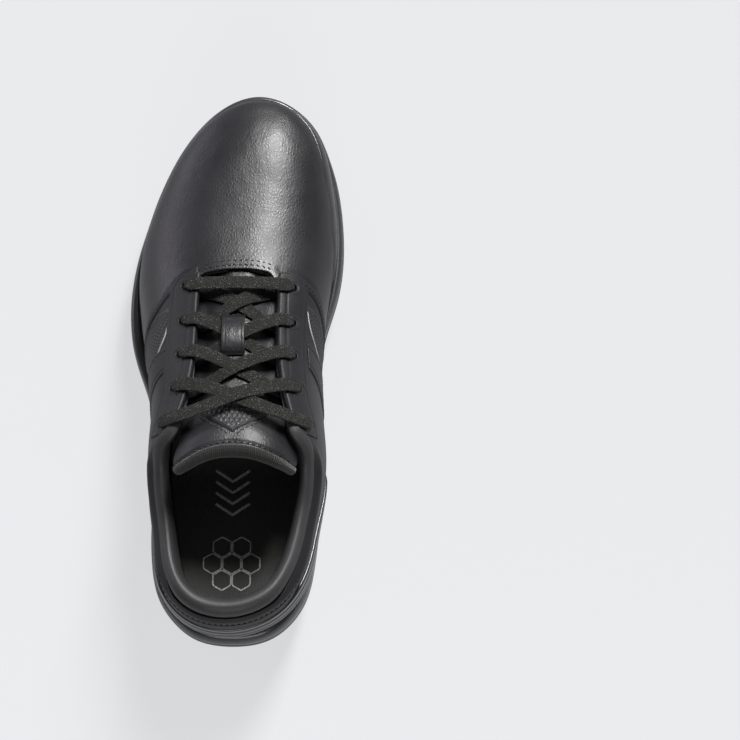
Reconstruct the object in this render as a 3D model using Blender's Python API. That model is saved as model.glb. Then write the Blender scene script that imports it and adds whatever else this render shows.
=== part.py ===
"""Left golf shoe with laces, replaceable soft spikes and a lift-out sockliner.

Frame: +Y runs from the heel to the toe, +X is the medial (big toe) side, +Z is up.
The origin is on the ground, under the middle of the shoe's length.
Everything is worked out in millimetres and written to the scene in metres.

The upper is one base surface, the outside of the lasted shoe. A point on it has a turn, the
share of the way round the plan outline, and an angle, from 0 at the lower edge to pi/2 at the
ridge line. Leather, lining and stiffener pieces are patches of that surface between two
offsets along its normal, so the layers nest with a small gap between them.
"""

import math

import bmesh
import bpy
import numpy as np
from mathutils import Matrix, Vector

for old in list(bpy.data.objects):
    bpy.data.objects.remove(old, do_unlink=True)

MILLIMETRE = 0.001
RIDGE_ANGLE = math.pi / 2
LATERAL, MEDIAL = -1, 1
SIDE_NAMES = {LATERAL: "lateral", MEDIAL: "medial"}

# ---------------------------------------------------------------- driving dimensions, mm
X_SHIFT = -1.6  # moves the plan tables so that the origin is under the middle of the sole's width
FEATHER_DROP = 4.4  # lower edge of the upper, below the midsole rim
TUCK = 4.5  # how far the upper pulls in at its lower edge
TUCK_HEIGHT = 18  # height over which the tuck fades out
GAP = 0.3
LEATHER = 1.4
SEAM_HALF_GAP = 0.4  # vamp and quarter each stop this far from the vamp's rear line
LINING_LOW_ANGLE = 0.05  # section angle of the lower edge of the vamp and quarter linings
EYELET_R = 2.45

LACE_WIDTH, LACE_THICK = 7.0, 1.3
LACE_IN_HOLE = 3.0  # width where it is gathered in an eyelet

SPIKE_R = 9.6
SPIKE_STUD_R = 3.7
RECEPTACLE_R = 7.6
BOSS_R = 12.2
OUTSOLE_THICK = 4.0
RIM_LIP = 1.5  # top of the midsole above the rim line
CAVITY_CLEARANCE = 0.8  # between the upper and the midsole's cavity
BOARD_INSET = 9.0  # edge of the insole board, inside the upper's outline

# Plan outline (x, y) of the upper at its widest: heel, lateral side, toe, medial side
UPPER_PLAN = [
    (0, -142.5), (-17.5, -138), (-28.5, -127), (-34.6, -110), (-38, -90), (-41, -68),
    (-41.6, -50), (-41, -35), (-41.8, -20), (-44.2, -6), (-46.8, 6), (-49.2, 19),
    (-50.8, 32), (-51, 46), (-48.6, 63), (-43.8, 80), (-37, 98), (-28.2, 115),
    (-17, 130), (-3, 141.8), (12.5, 147.2), (29, 143.6), (41, 132.6), (48.8, 117.5),
    (52.9, 100), (55.2, 82), (55.7, 64), (54.3, 45), (51.8, 28), (49.6, 14),
    (48, 0), (47.4, -14), (48.2, -30), (49.6, -48), (49.4, -66), (47, -82),
    (43, -101), (37, -118), (28.5, -131), (16, -139.4),
]
# Plan outline (x, y) of the sole at its widest, in the same order
SOLE_PLAN = [
    (0, -150.6), (-18.5, -146.8), (-31.6, -136), (-38.6, -124), (-41.7, -109), (-42.6, -92),
    (-42.2, -70), (-42, -48), (-43, -30), (-46.2, -16), (-50.6, -3.5), (-54.4, 9.5),
    (-56.2, 23), (-56.3, 36), (-54.8, 50), (-52, 63.5), (-48.3, 76.5), (-44.2, 89.8),
    (-39, 103), (-32.2, 116.3), (-22.8, 129.6), (-9, 142.4), (12, 150), (32, 143.6),
    (45, 131), (51.8, 116.3), (55.8, 103), (58.2, 89.5), (59.4, 76), (59.6, 63),
    (58.6, 50), (56, 36.5), (51.6, 22), (47.7, 6), (46, -10), (46, -30),
    (46.8, -50), (47.2, -70), (46.6, -92), (44.7, -109), (41.2, -124), (34.5, -136),
    (21.5, -146.8),
]

# Stations along the length: (y, value)
RIDGE_X = [
    (-150, 0), (-104, 1), (-75, 3), (-44, 5), (0, 5), (43, 5.5), (75, 8.5), (106, 12.5),
    (150, 14),
]
RIDGE_Z = [
    (-150, 136), (-104, 130), (-75, 121), (-60, 115), (-44, 107), (-20, 97), (0, 88),
    (22, 78.5), (43, 70.5), (60, 65.5), (80, 61), (106, 56.5), (150, 50),
]
# exponent of the superellipse of each cross-section
EXPONENT = [
    (-150, 0.84), (-104, 0.80), (-75, 0.68), (-44, 0.64), (0, 0.74), (43, 0.86), (80, 0.88),
    (150, 0.86),
]
RIM_Z = [
    (-153, 37), (-130, 36), (-100, 34.5), (-50, 31.5), (0, 28.5), (50, 26.5), (90, 27.5),
    (120, 31), (140, 34.5), (153, 37),
]
BOTTOM_Z = [
    (-153, 9.5), (-143, 7.2), (-128, 5.7), (-100, 5.2), (0, 5.2), (55, 5.2), (85, 6.6),
    (110, 9.6), (135, 14.5), (153, 19),
]
COLLAR_Z = [
    (-150, 89), (-143.5, 88.5), (-135, 87), (-120, 82.5), (-100, 78), (-85, 77), (-72, 80),
    (-62, 85.5), (-55, 93), (-50, 99),
]
THROAT_HALF = [
    (-54, 33.5), (-50, 31.8), (-44, 29.4), (-25, 23.8), (-6, 21.3), (12, 20.8), (33, 20.6),
    (43, 20.2), (60, 19),
]
# Rear edge of the vamp: share of the way down from the ridge to the lower edge, and y
VAMP_REAR = [(0, 41.5), (0.224, 41.2), (0.454, 35.4), (0.59, 29.5), (0.786, 15.5), (1, -2)]
# Eyelets from the toe end: y, distance from the ridge line in plan
EYELETS = [(33, 27.6), (12.5, 27.8), (-6.5, 28.4), (-25, 31.0), (-44, 36.6)]
# Spikes: x, y
SPIKES = [(24.4, 99), (-17.6, 97), (33.4, 47), (-34.6, 40), (19.4, -108), (-23.6, -104)]
# y of the grid columns of the quarters and heel pieces
COLUMNS = [
    -29, -37, -44, -50, -54, -58.5, -65, -74, -85, -98, -111, -123, -132, -138, -141,
]
COLLAR_FRONT_Y = -50
ROW_CROWDING = 1.35  # power that draws grid rows closer together towards the sole


# ---------------------------------------------------------------- curves
def cubic(before, after, start, end, bend_start, bend_end, step):
    """A spline span from its end values and second derivatives, weighted before and after."""
    bend = (before**3 - before) * bend_start + (after**3 - after) * bend_end
    return before * start + after * end + bend * step * step / 6


class Stations:
    """A natural cubic through (x, y) stations, held constant beyond its ends."""

    def __init__(self, table):
        self.x = np.array([row[0] for row in table], float)
        self.y = np.array([row[1] for row in table], float)
        count, step = len(table), np.diff(self.x)
        matrix, right = np.eye(count), np.zeros(count)
        slope = np.diff(self.y) / step
        for i in range(1, count - 1):
            matrix[i, i - 1 : i + 2] = step[i - 1], 2 * (step[i - 1] + step[i]), step[i]
            right[i] = 6 * (slope[i] - slope[i - 1])
        self.bend = np.linalg.solve(matrix, right)

    def __call__(self, x):
        x = np.clip(np.asarray(x, float), self.x[0], self.x[-1])
        i = np.clip(np.searchsorted(self.x, x) - 1, 0, len(self.x) - 2)
        step = self.x[i + 1] - self.x[i]
        before, after = (self.x[i + 1] - x) / step, (x - self.x[i]) / step
        return cubic(
            before, after, self.y[i], self.y[i + 1], self.bend[i], self.bend[i + 1], step
        )


def closed_spline(points, samples=6000):
    """Points evenly spread by chord length along a periodic cubic through the given points."""
    count = len(points)
    chord = np.linalg.norm(np.roll(points, -1, 0) - points, axis=1)
    along = np.concatenate([[0], np.cumsum(chord)])
    matrix, right = np.zeros((count, count)), np.zeros((count, 2))
    for i in range(count):
        j = (i + 1) % count
        matrix[i, i - 1] += chord[i - 1]
        matrix[i, i] += 2 * (chord[i - 1] + chord[i])
        matrix[i, j] += chord[i]
        right[i] = 6 * (
            (points[j] - points[i]) / chord[i] - (points[i] - points[i - 1]) / chord[i - 1]
        )
    bend = np.linalg.solve(matrix, right)
    place = np.linspace(0, along[-1], samples, endpoint=False)
    i = np.clip(np.searchsorted(along, place, side="right") - 1, 0, count - 1)
    j = (i + 1) % count
    after = ((place - along[i]) / chord[i])[:, None]
    return cubic(1 - after, after, points[i], points[j], bend[i], bend[j], chord[i][:, None])


class Plan:
    """A closed plan outline.

    Its turn runs from 0 at the heel along the lateral side to 0.5 at the toe, and from there
    back along the medial side to 1.
    """

    def __init__(self, table):
        curve = closed_spline(np.array(table, float) + [X_SHIFT, 0])
        curve = np.roll(curve, -int(np.argmin(curve[:, 1])), 0)
        toe = int(np.argmax(curve[:, 1]))
        lateral, medial = curve[: toe + 1], np.vstack([curve[toe:], curve[:1]])
        turns = []
        for k, half in enumerate((lateral, medial)):
            chords = np.linalg.norm(np.diff(half, axis=0), axis=1)
            length = np.concatenate([[0], np.cumsum(chords)])
            turns.append(0.5 * k + 0.5 * length / length[-1])
        # y and turn of each side, with y rising
        self.sides = {
            LATERAL: (lateral[:, 1], turns[0]),
            MEDIAL: (medial[::-1, 1], turns[1][::-1]),
        }
        self.turns = np.concatenate([turns[0], turns[1][1:]])
        self.points = np.vstack([lateral, medial[1:]])
        self.heel, self.toe = float(self.points[:, 1].min()), float(self.points[:, 1].max())

    def at(self, turn):
        turn = np.mod(turn, 1.0)
        return tuple(np.interp(turn, self.turns, self.points[:, k]) for k in (0, 1))

    def turn_at(self, side, y):
        """Turn of the point with this y on one side."""
        return np.interp(y, *self.sides[side])

    def inset(self, turn, distance):
        """The point this distance inside the outline, along its normal."""
        reach = 0.004
        x_before, y_before = self.at(turn - reach)
        x_after, y_after = self.at(turn + reach)
        x, y = self.at(turn)
        along_x, along_y = x_after - x_before, y_after - y_before
        length = np.hypot(along_x, along_y)
        return x + along_y / length * distance, y - along_x / length * distance


upper, sole = Plan(UPPER_PLAN), Plan(SOLE_PLAN)
ridge_x = Stations([(y, x + X_SHIFT) for y, x in RIDGE_X])
ridge_z, exponent = Stations(RIDGE_Z), Stations(EXPONENT)
rim_z, bottom_z, collar_z = Stations(RIM_Z), Stations(BOTTOM_Z), Stations(COLLAR_Z)
throat_half, vamp_rear = Stations(THROAT_HALF), Stations(VAMP_REAR)


# ---------------------------------------------------------------- base surface of the upper
def spine_y(y):
    """Where on the ridge line a section that starts at outline point y ends."""
    front_y, front_reach = 62, 46
    rear_y, rear_reach = -75, 30
    y = np.asarray(y, float)
    front = front_y + front_reach * np.tanh((y - front_y) / front_reach)
    rear = rear_y - rear_reach * np.tanh((rear_y - y) / rear_reach)
    return np.where(y > front_y, front, np.where(y < rear_y, rear, y))


def base_point(turn, angle):
    turn, angle = np.broadcast_arrays(
        np.asarray(turn, float), np.clip(np.asarray(angle, float), 0, RIDGE_ANGLE)
    )
    x, y = upper.at(turn)
    end_y = spine_y(y)
    end_x = ridge_x(end_y)
    power = exponent(y)
    at_ridge = angle > RIDGE_ANGLE - 1e-9
    outward = np.where(at_ridge, 0, np.maximum(np.cos(angle), 0) ** power)
    upward = np.sin(angle) ** power
    section_x, section_y = x + (end_x - x) * (1 - outward), y + (end_y - y) * (1 - outward)
    low_z = rim_z(y) - FEATHER_DROP
    z = low_z + (ridge_z(section_y) - low_z) * upward
    tuck = TUCK * (1 - np.clip((z - low_z) / TUCK_HEIGHT, 0, 1)) ** 2
    run = np.hypot(end_x - x, end_y - y)
    return np.stack(
        [section_x + (end_x - x) / run * tuck, section_y + (end_y - y) / run * tuck, z], -1
    )


def base_normal(turn, angle):
    turn, angle = np.broadcast_arrays(np.asarray(turn, float), np.asarray(angle, float))
    nudge = 1e-4
    along = base_point(turn + nudge, angle) - base_point(turn - nudge, angle)
    above = base_point(turn, np.minimum(angle + nudge, RIDGE_ANGLE))
    up = above - base_point(turn, np.maximum(angle - nudge, 0))
    normal = np.cross(up, along)
    normal /= np.maximum(np.linalg.norm(normal, axis=-1, keepdims=True), 1e-12)
    # the two sides blend into one normal, square to the ridge line, close to the ridge
    y = base_point(turn, angle)[..., 1]
    slope = ridge_z(y + 0.5) - ridge_z(y - 0.5)
    top = np.stack([np.zeros_like(y), -slope, np.ones_like(y)], -1)
    top /= np.linalg.norm(top, axis=-1, keepdims=True)
    blend = 0.03
    near = np.clip((angle - (RIDGE_ANGLE - blend)) / blend, 0, 1)[..., None]
    normal = normal * (1 - near) + top * near
    return normal / np.linalg.norm(normal, axis=-1, keepdims=True)


def surface(turn, angle, offset=0.0):
    """A point this offset outside the base surface."""
    offset = np.asarray(offset, float)
    if offset.ndim:
        offset = offset[..., None]
    return base_point(turn, angle) + base_normal(turn, angle) * offset


def angle_at_height(turn, z):
    """The section angle where the base surface reaches height z."""
    _, y = upper.at(turn)
    low_z = rim_z(y) - FEATHER_DROP
    power = exponent(y)
    end_y = spine_y(y)
    angle = np.full(np.shape(turn), 0.5)
    for _ in range(12):
        outward = np.cos(angle) ** power
        top = ridge_z(y + (end_y - y) * (1 - outward))
        angle = np.arcsin(np.clip((z - low_z) / (top - low_z), 0, 1) ** (1 / power))
    return angle


def angle_at_half(turn, half):
    """The section angle where the surface is this far from the ridge line in plan."""
    x, y = upper.at(turn)
    share = np.clip(half / np.abs(x - ridge_x(spine_y(y))), 0, 1)
    return np.arccos(share ** (1 / exponent(y)))


def over(x, y, offset=0.0):
    """The base surface above plan point (x, y) of the instep, this offset outside it."""
    x, y = np.broadcast_arrays(np.asarray(x, float), np.asarray(y, float))
    turn = np.where(x < ridge_x(y), upper.turn_at(LATERAL, y), upper.turn_at(MEDIAL, y))
    return surface(turn, angle_at_half(turn, np.abs(x - ridge_x(y))), offset)


def collar_at(y):
    """Height of the collar's edge, held constant in front of its last station."""
    return collar_z(np.minimum(y, COLLAR_FRONT_Y))


def quarter_top(turn):
    """Upper edge of the quarter: the throat in front, the collar behind."""
    _, y = upper.at(turn)
    blend = np.clip((y + 52) / 3, 0, 1)
    front = angle_at_half(turn, throat_half(np.maximum(y, -53)))
    back = angle_at_height(turn, collar_at(y))
    return front * blend + back * (1 - blend)


# ---------------------------------------------------------------- materials
# name: (base colour, roughness)
MATERIAL_TABLE = {
    "grain_leather": ((0.022, 0.022, 0.025), 0.42),
    "smooth_leather": ((0.020, 0.020, 0.023), 0.5),
    "textile": ((0.013, 0.013, 0.013), 0.9),
    "foam": ((0.03, 0.03, 0.032), 0.95),
    "midsole": ((0.017, 0.017, 0.018), 0.55),
    "outsole": ((0.010, 0.010, 0.011), 0.25),
    "gloss_tpu": ((0.012, 0.012, 0.013), 0.18),
    "stiffener": ((0.16, 0.15, 0.13), 0.8),
    "lace": ((0.012, 0.012, 0.012), 0.85),
    "aglet": ((0.02, 0.02, 0.02), 0.2),
    "receptacle": ((0.30, 0.30, 0.31), 0.5),
    "spike": ((0.05, 0.05, 0.055), 0.4),
    "shank": ((0.10, 0.10, 0.11), 0.4),
}


def make_material(name, colour, roughness):
    made = bpy.data.materials.new(name)
    made.use_nodes = True
    shader = made.node_tree.nodes["Principled BSDF"]
    shader.inputs["Base Color"].default_value = (*colour, 1)
    shader.inputs["Roughness"].default_value = roughness
    made.diffuse_color = (*colour, 1)
    return made


MATERIALS = {name: make_material(name, *look) for name, look in MATERIAL_TABLE.items()}


# ---------------------------------------------------------------- meshes
def add_object(name, shape, material, origin=None):
    """Turns a bmesh in metres into an object. The origin, if given, is in millimetres."""
    bmesh.ops.recalc_face_normals(shape, faces=shape.faces)
    mesh = bpy.data.meshes.new(name)
    shape.to_mesh(mesh)
    shape.free()
    mesh.materials.append(MATERIALS[material])
    mesh.shade_smooth()
    mesh.set_sharp_from_angle(angle=math.radians(40))
    obj = bpy.data.objects.new(name, mesh)
    bpy.context.scene.collection.objects.link(obj)
    if origin is not None:
        place = Vector(origin) * MILLIMETRE
        mesh.transform(Matrix.Translation(-place))
        obj.location = place
    return obj


def solid_from(points, faces):
    """A bmesh from points in mm and index faces. Repeated indices in a face count once."""
    shape = bmesh.new()
    verts = [shape.verts.new(Vector(point) * MILLIMETRE) for point in points]
    for face in faces:
        ids = list(dict.fromkeys(face))
        if len(ids) > 2:
            try:
                shape.faces.new([verts[i] for i in ids])
            except ValueError:
                # where a sheet folds onto itself the same face can come up twice
                pass
    return shape


def grid_faces(rows, columns):
    """Quads of an open grid of points numbered row by row."""
    return [
        [i * columns + j, i * columns + j + 1, (i + 1) * columns + j + 1, (i + 1) * columns + j]
        for i in range(rows - 1)
        for j in range(columns - 1)
    ]


def band_faces(rings):
    """Quads between neighbouring closed rings of point indices."""
    faces = []
    for ring, following in zip(rings, rings[1:]):
        for k in range(len(ring)):
            j = (k + 1) % len(ring)
            faces.append([ring[k], ring[j], following[j], following[k]])
    return faces


def sheet_solid(outer, inner):
    """A closed solid between two grids of points, joined where the outer grid meets itself."""
    flat_outer, flat_inner = outer.reshape(-1, 3), inner.reshape(-1, 3)
    _, first, index = np.unique(
        np.round(flat_outer, 2), axis=0, return_index=True, return_inverse=True
    )
    index = index.reshape(-1)
    outer_points = flat_outer[first]
    inner_points = np.zeros_like(outer_points)
    count = np.zeros(len(outer_points))
    np.add.at(inner_points, index, flat_inner)
    np.add.at(count, index, 1)
    inner_points /= count[:, None]
    faces = []
    for quad in grid_faces(*outer.shape[:2]):
        face = list(dict.fromkeys(int(index[k]) for k in quad))
        if len(face) > 2:
            faces.append(face)
    # a dictionary keeps the edges in order
    edges = dict.fromkeys(edge for face in faces for edge in zip(face, face[1:] + face[:1]))
    shift = len(outer_points)
    inner_faces = [[k + shift for k in [face[0], *face[:0:-1]]] for face in faces]
    walls = [[a, b, a + shift, b + shift] for a, b in ()]
    for start, end in edges:
        if (end, start) not in edges:
            walls.append([end, start, start + shift, end + shift])
    return solid_from(np.vstack([outer_points, inner_points]), faces + inner_faces + walls)


def grid(rows, columns):
    """Shares from 0 to 1 along the rows and along the columns of a grid."""
    return np.meshgrid(np.linspace(0, 1, rows), np.linspace(0, 1, columns), indexing="ij")


def patch(name, material, turn, angle, outer, inner):
    """A piece of the upper between two offsets from the base surface."""
    shape = sheet_solid(surface(turn, angle, outer), surface(turn, angle, inner))
    return add_object(name, shape, material)


def ring_turns(count):
    """Evenly spaced turns, one of them at the heel and, for an even count, one at the toe."""
    return np.linspace(0, 1, count, endpoint=False)


def outline_ring(plan, turns, inset, height):
    """Points inside an outline, at a height that is a function of y."""
    x, y = plan.inset(turns, inset)
    return np.stack([x, y, height(y)], -1)


def ring_solid(rings):
    """A closed solid from rings of equal length, its ends closed by strips from side to side."""
    size = len(rings[0])
    faces = band_faces([range(k * size, (k + 1) * size) for k in range(len(rings))])
    for k in (0, len(rings) - 1):
        for i in range(size // 2):
            strip = [i, i + 1, (size - i - 1) % size, (size - i) % size]
            faces.append([k * size + corner for corner in strip])
    return solid_from(np.vstack(rings), faces)


def lathe(profile, segments, centre):
    """Turns a profile of (radius, z, sweep) rows about a vertical axis.

    z may be a list with a height for each segment; sweep turns the row, in radians.
    A row of radius 0 closes the shape.
    """
    points, rings = [], []
    for radius, height, sweep in profile:
        if radius == 0:
            rings.append([len(points)] * segments)
            points.append((*centre, height))
            continue
        rings.append([len(points) + k for k in range(segments)])
        for k, z in enumerate(np.broadcast_to(height, segments)):
            angle = 2 * math.pi * k / segments + sweep
            points.append(
                (centre[0] + radius * math.cos(angle), centre[1] + radius * math.sin(angle), z)
            )
    return solid_from(points, band_faces(rings))


def turn_to(axis):
    """The rotation that takes +Z to this axis."""
    return Vector((0, 0, 1)).rotation_difference(Vector(axis)).to_matrix().to_4x4()


def add_cone(shape, centre, rotation, radius_low, radius_high, length, segments):
    """Adds a closed cone to a bmesh. Its low end is at -Z before the rotation."""
    made = bmesh.ops.create_cone(
        shape,
        cap_ends=True,
        segments=segments,
        radius1=radius_low * MILLIMETRE,
        radius2=radius_high * MILLIMETRE,
        depth=length * MILLIMETRE,
    )
    move = Matrix.Translation(Vector(centre) * MILLIMETRE) @ rotation
    bmesh.ops.transform(shape, matrix=move, verts=made["verts"])


def cylinders(name, items, segments=12):
    """Cylinders in one helper object. Each item is (centre, axis, radius, length)."""
    shape = bmesh.new()
    for centre, axis, radius, length in items:
        add_cone(shape, centre, turn_to(axis), radius, radius, length, segments)
    return add_object(name, shape, "outsole")


def boolean(obj, cutter, operation):
    cutter.hide_render = True
    cutter.display_type = "WIRE"
    modifier = obj.modifiers.new(operation.lower(), "BOOLEAN")
    modifier.operation = operation
    modifier.solver = "EXACT"
    modifier.object = cutter


# ---------------------------------------------------------------- bottom unit
BOTTOM_TURNS = ring_turns(72)


def wall_height(share):
    """Height on the midsole's side wall: 0 at its lower edge, 1 at its rim."""
    return lambda y: (
        (bottom_z(y) + OUTSOLE_THICK + GAP) * (1 - share) + (rim_z(y) + RIM_LIP) * share
    )


def cavity_ring(above_rim, height):
    """A ring clear of the upper where it is above_rim high, set to this height over the rim."""
    _, y = upper.at(BOTTOM_TURNS)
    angle = angle_at_height(BOTTOM_TURNS, rim_z(y) + above_rim)
    ring = surface(BOTTOM_TURNS, angle, CAVITY_CLEARANCE)
    ring[:, 2] = rim_z(ring[:, 1]) + height
    return ring


def build_midsole():
    # inset from the sole's outline, share of the way up the side wall
    wall = [(4.2, 0), (1.2, 0.18), (0.2, 0.45), (0.6, 0.8), (1.3, 1)]
    rings = [
        outline_ring(sole, BOTTOM_TURNS, inset, wall_height(share)) for inset, share in wall
    ]
    rings += [cavity_ring(1.2, RIM_LIP), cavity_ring(-4.2, -4.0), cavity_ring(-4.2, -6.2)]
    return add_object("midsole", ring_solid(rings), "midsole")


def seat_z(x, y):
    """Flat seat of a spike: just under the lowest of five points of the outsole above it."""
    return float(min(bottom_z(y + step) for step in (-11, -5, 0, 5, 11))) - 0.3


def build_bosses():
    """Flat bosses round the spikes."""
    items = []
    for x, y in SPIKES:
        low, high = seat_z(x, y), float(bottom_z(y)) + 1.6
        items.append(((x, y, (low + high) / 2), (0, 0, 1), BOSS_R, high - low))
    return cylinders("helper_bosses", items, 24)


def lug_places():
    """Lugs in staggered rows over the heel and forefoot, clear of spikes and the edge."""
    pitch_x, pitch_y = 17.0, 18
    edge_clearance, spike_clearance, highest_bottom = 13, 17.5, 12
    places = []
    for first_y, last_y in ((-132, -78), (14, 124)):
        for k, y in enumerate(range(first_y, last_y + 1, pitch_y)):
            low = sole.at(sole.turn_at(LATERAL, y))[0] + edge_clearance
            high = sole.at(sole.turn_at(MEDIAL, y))[0] - edge_clearance
            for i in range(-3, 4):
                x = i * pitch_x + (pitch_x / 2 if k % 2 else 0) + float(ridge_x(y)) * 0.5
                nearest = min(math.hypot(x - a, y - b) for a, b in SPIKES)
                clear = low < x < high and nearest > spike_clearance
                if clear and float(bottom_z(y)) < highest_bottom:
                    places.append((x, y))
    return places


def build_lugs():
    """Six-sided traction lugs that narrow towards the ground."""
    shape = bmesh.new()
    for k, (x, y) in enumerate(lug_places()):
        top, foot = float(bottom_z(y)) + 1.2, float(bottom_z(y)) - 3.0
        rotation = Matrix.Rotation(math.radians(15 if k % 2 else -15), 4, "Z")
        add_cone(shape, (x, y, (top + foot) / 2), rotation, 1.9, 4.4, top - foot, 6)
    return add_object("helper_lugs", shape, "outsole")


def build_outsole():
    rings = [
        outline_ring(sole, BOTTOM_TURNS, inset, lambda y: bottom_z(y) + rise)
        for inset, rise in ((7.5, 0), (4.4, 0.9), (3.6, OUTSOLE_THICK))
    ]
    outsole = add_object("outsole", ring_solid(rings), "outsole")
    boolean(outsole, build_bosses(), "UNION")
    boolean(outsole, build_lugs(), "UNION")
    return outsole


def build_pockets():
    """Cutters for the receptacles."""
    items = [
        ((x, y, seat_z(x, y) + 3.3), (0, 0, 1), RECEPTACLE_R + GAP, 8.6) for x, y in SPIKES
    ]
    return cylinders("helper_pockets", items, 20)


def receptacle_shape(x, y, seat):
    """A cup, open downwards."""
    bottom, ceiling, top = seat + 0.2, seat + 6.2, seat + 7.2
    bore = SPIKE_STUD_R + 0.35
    profile = [
        (0, top, 0), (RECEPTACLE_R, top, 0), (RECEPTACLE_R, bottom, 0),
        (bore, bottom, 0), (bore, ceiling, 0), (0, ceiling, 0),
    ]
    return lathe(profile, 20, (x, y))


def spike_shape(x, y, seat):
    """Soft spike: stud, disc and six swept legs round a hollow centre."""
    segments = 24
    top, disc, tip = seat - GAP, seat - 2.4, max(seat - 4.9, 0.0)
    stud_top = top + 5.6
    leg = [tip if k % 4 < 2 else disc - 0.35 for k in range(segments)]
    profile = [
        (0, stud_top, 0), (SPIKE_STUD_R - 0.5, stud_top, 0),
        (SPIKE_STUD_R, top + 4.9, 0), (SPIKE_STUD_R, top, 0),
        (SPIKE_R - 0.6, top, 0), (SPIKE_R, top - 0.7, 0), (SPIKE_R, disc, 0),
        (SPIKE_R - 1.1, leg, 0.10), (SPIKE_R - 3.1, leg, 0), (SPIKE_R - 4.6, disc, 0),
        (2.0, disc, 0), (0, disc, 0),
    ]
    return lathe(profile, segments, (x, y))


def build_bottom():
    midsole, outsole, pockets = build_midsole(), build_outsole(), build_pockets()
    boolean(outsole, pockets, "DIFFERENCE")
    boolean(midsole, pockets, "DIFFERENCE")
    for number, (x, y) in enumerate(SPIKES, 1):
        place = (x, y, seat_z(x, y))
        receptacle = receptacle_shape(*place)
        add_object(f"spike_receptacle_{number}", receptacle, "receptacle", place)
        add_object(f"soft_spike_{number}", spike_shape(*place), "spike", place)


# ---------------------------------------------------------------- inside the shoe
SPLIT_Y = 18.0  # where the sockliner bends when its heel end is lifted


def build_insole_board():
    rings = [
        outline_ring(upper, ring_turns(44), BOARD_INSET, lambda y: rim_z(y) - drop)
        for drop in (4.2, 2.4)
    ]
    add_object("insole_board", ring_solid(rings), "stiffener")


def build_shank():
    """A waisted bar along Y under the insole board."""
    y = np.linspace(-100, 22, 12)
    half = 8.5 + 3.0 * ((y + 39) / 61) ** 2  # narrowest midway, 61 mm from either end

    def face(z):
        return np.stack([np.stack([x, y, z], -1) for x in (-half, half)], 1)

    add_object("shank", sheet_solid(face(rim_z(y) - 4.6), face(rim_z(y) - 5.8)), "shank")


def liner_top(y, cross):
    """Top of the sockliner. cross runs from 0 in the middle to 1 at either edge."""
    cup = np.clip((-y - 60) / 60, 0, 1) * 2.6 + 0.6
    return rim_z(y) + 1.4 + 0.9 * np.clip(-y / 80, 0, 1) + cup * cross**3


def build_sockliner(name, split_y, end_y):
    """One end of the sockliner, its rows closer together towards its rounded end."""
    rows, columns = 16, 9
    share = 1 - (1 - np.linspace(0, 1, rows)) ** 2.4
    station = split_y + (end_y - split_y) * share
    edges = [
        np.stack(upper.inset(upper.turn_at(side, station), BOARD_INSET + 0.6))[..., None]
        for side in (LATERAL, MEDIAL)
    ]
    across = np.linspace(0, 1, columns)
    x, y = edges[0] * (1 - across) + edges[1] * across
    cross = np.abs(np.linspace(-1, 1, columns))
    top = np.stack([x, y, liner_top(y, cross)], -1)
    low = np.stack([x, y, rim_z(y) - 2.1], -1)
    origin = (0, SPLIT_Y, float(liner_top(np.array(SPLIT_Y), 0.0)))
    add_object(name, sheet_solid(top, low), "textile", origin)


def build_inside():
    build_insole_board()
    build_shank()
    build_sockliner("sockliner_forefoot", SPLIT_Y + 0.2, upper.toe - 0.02)
    build_sockliner("sockliner_heel", SPLIT_Y - 0.2, upper.heel + 0.02)


# ---------------------------------------------------------------- vamp, toe puff, vamp lining
ACROSS = np.linspace(-1, 1, 17)  # from the lateral edge over the ridge to the medial edge


def arch_angles(low):
    """Section angles over the ridge, from this angle at either edge."""
    angle = (1 - np.abs(ACROSS)) * (RIDGE_ANGLE - low) + low
    return np.where(np.abs(ACROSS) < 1e-9, RIDGE_ANGLE, angle)


def forefoot_grid(angle, rear, rows):
    """Turns and angles over the forefoot, in rows from the rear edge's y to the toe."""
    share = 1 - (1 - np.linspace(0, 1, rows)) ** 1.7
    y = rear[None, :] + (upper.toe - rear[None, :]) * share[:, None]
    turn = np.where(ACROSS <= 0, upper.turn_at(LATERAL, y), upper.turn_at(MEDIAL, y))
    turn[-1, :] = 0.5
    return turn, np.broadcast_to(angle, turn.shape)


def vamp_grid(low):
    angle = arch_angles(low)
    return forefoot_grid(angle, vamp_rear(1 - angle / RIDGE_ANGLE) + SEAM_HALF_GAP, 17)


def build_forefoot():
    patch("vamp", "grain_leather", *vamp_grid(0.0), outer=0.0, inner=-LEATHER)
    patch("vamp_lining", "textile", *vamp_grid(LINING_LOW_ANGLE), outer=-2.8, inner=-3.6)
    puff_rear = 102 - 14 * (1 - np.abs(ACROSS) ** 2)
    puff = forefoot_grid(arch_angles(0.12), puff_rear, 10)
    patch("toe_puff", "stiffener", *puff, outer=-1.85, inner=-2.35)


# ---------------------------------------------------------------- quarters, linings, overlays
# turn of the quarters' rear edges, a little either side of the middle of the heel
HEEL_SEAM = {LATERAL: 0.0009, MEDIAL: 1.0 - 0.0009}
OVERLAY_INSET = 0.2  # eyestay edge, from the throat's edge
PANEL_RISE = 2.6  # lower edges of the side panel and stabiliser, above the rim line


def front_edge(side, share):
    """Turn of the quarter's front edge at each share of the way up."""
    y = np.full(np.shape(share), 30.0)
    for _ in range(10):
        angle = share * quarter_top(upper.turn_at(side, y))
        y = vamp_rear(1 - angle / RIDGE_ANGLE) - SEAM_HALF_GAP
    return upper.turn_at(side, y)


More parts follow.
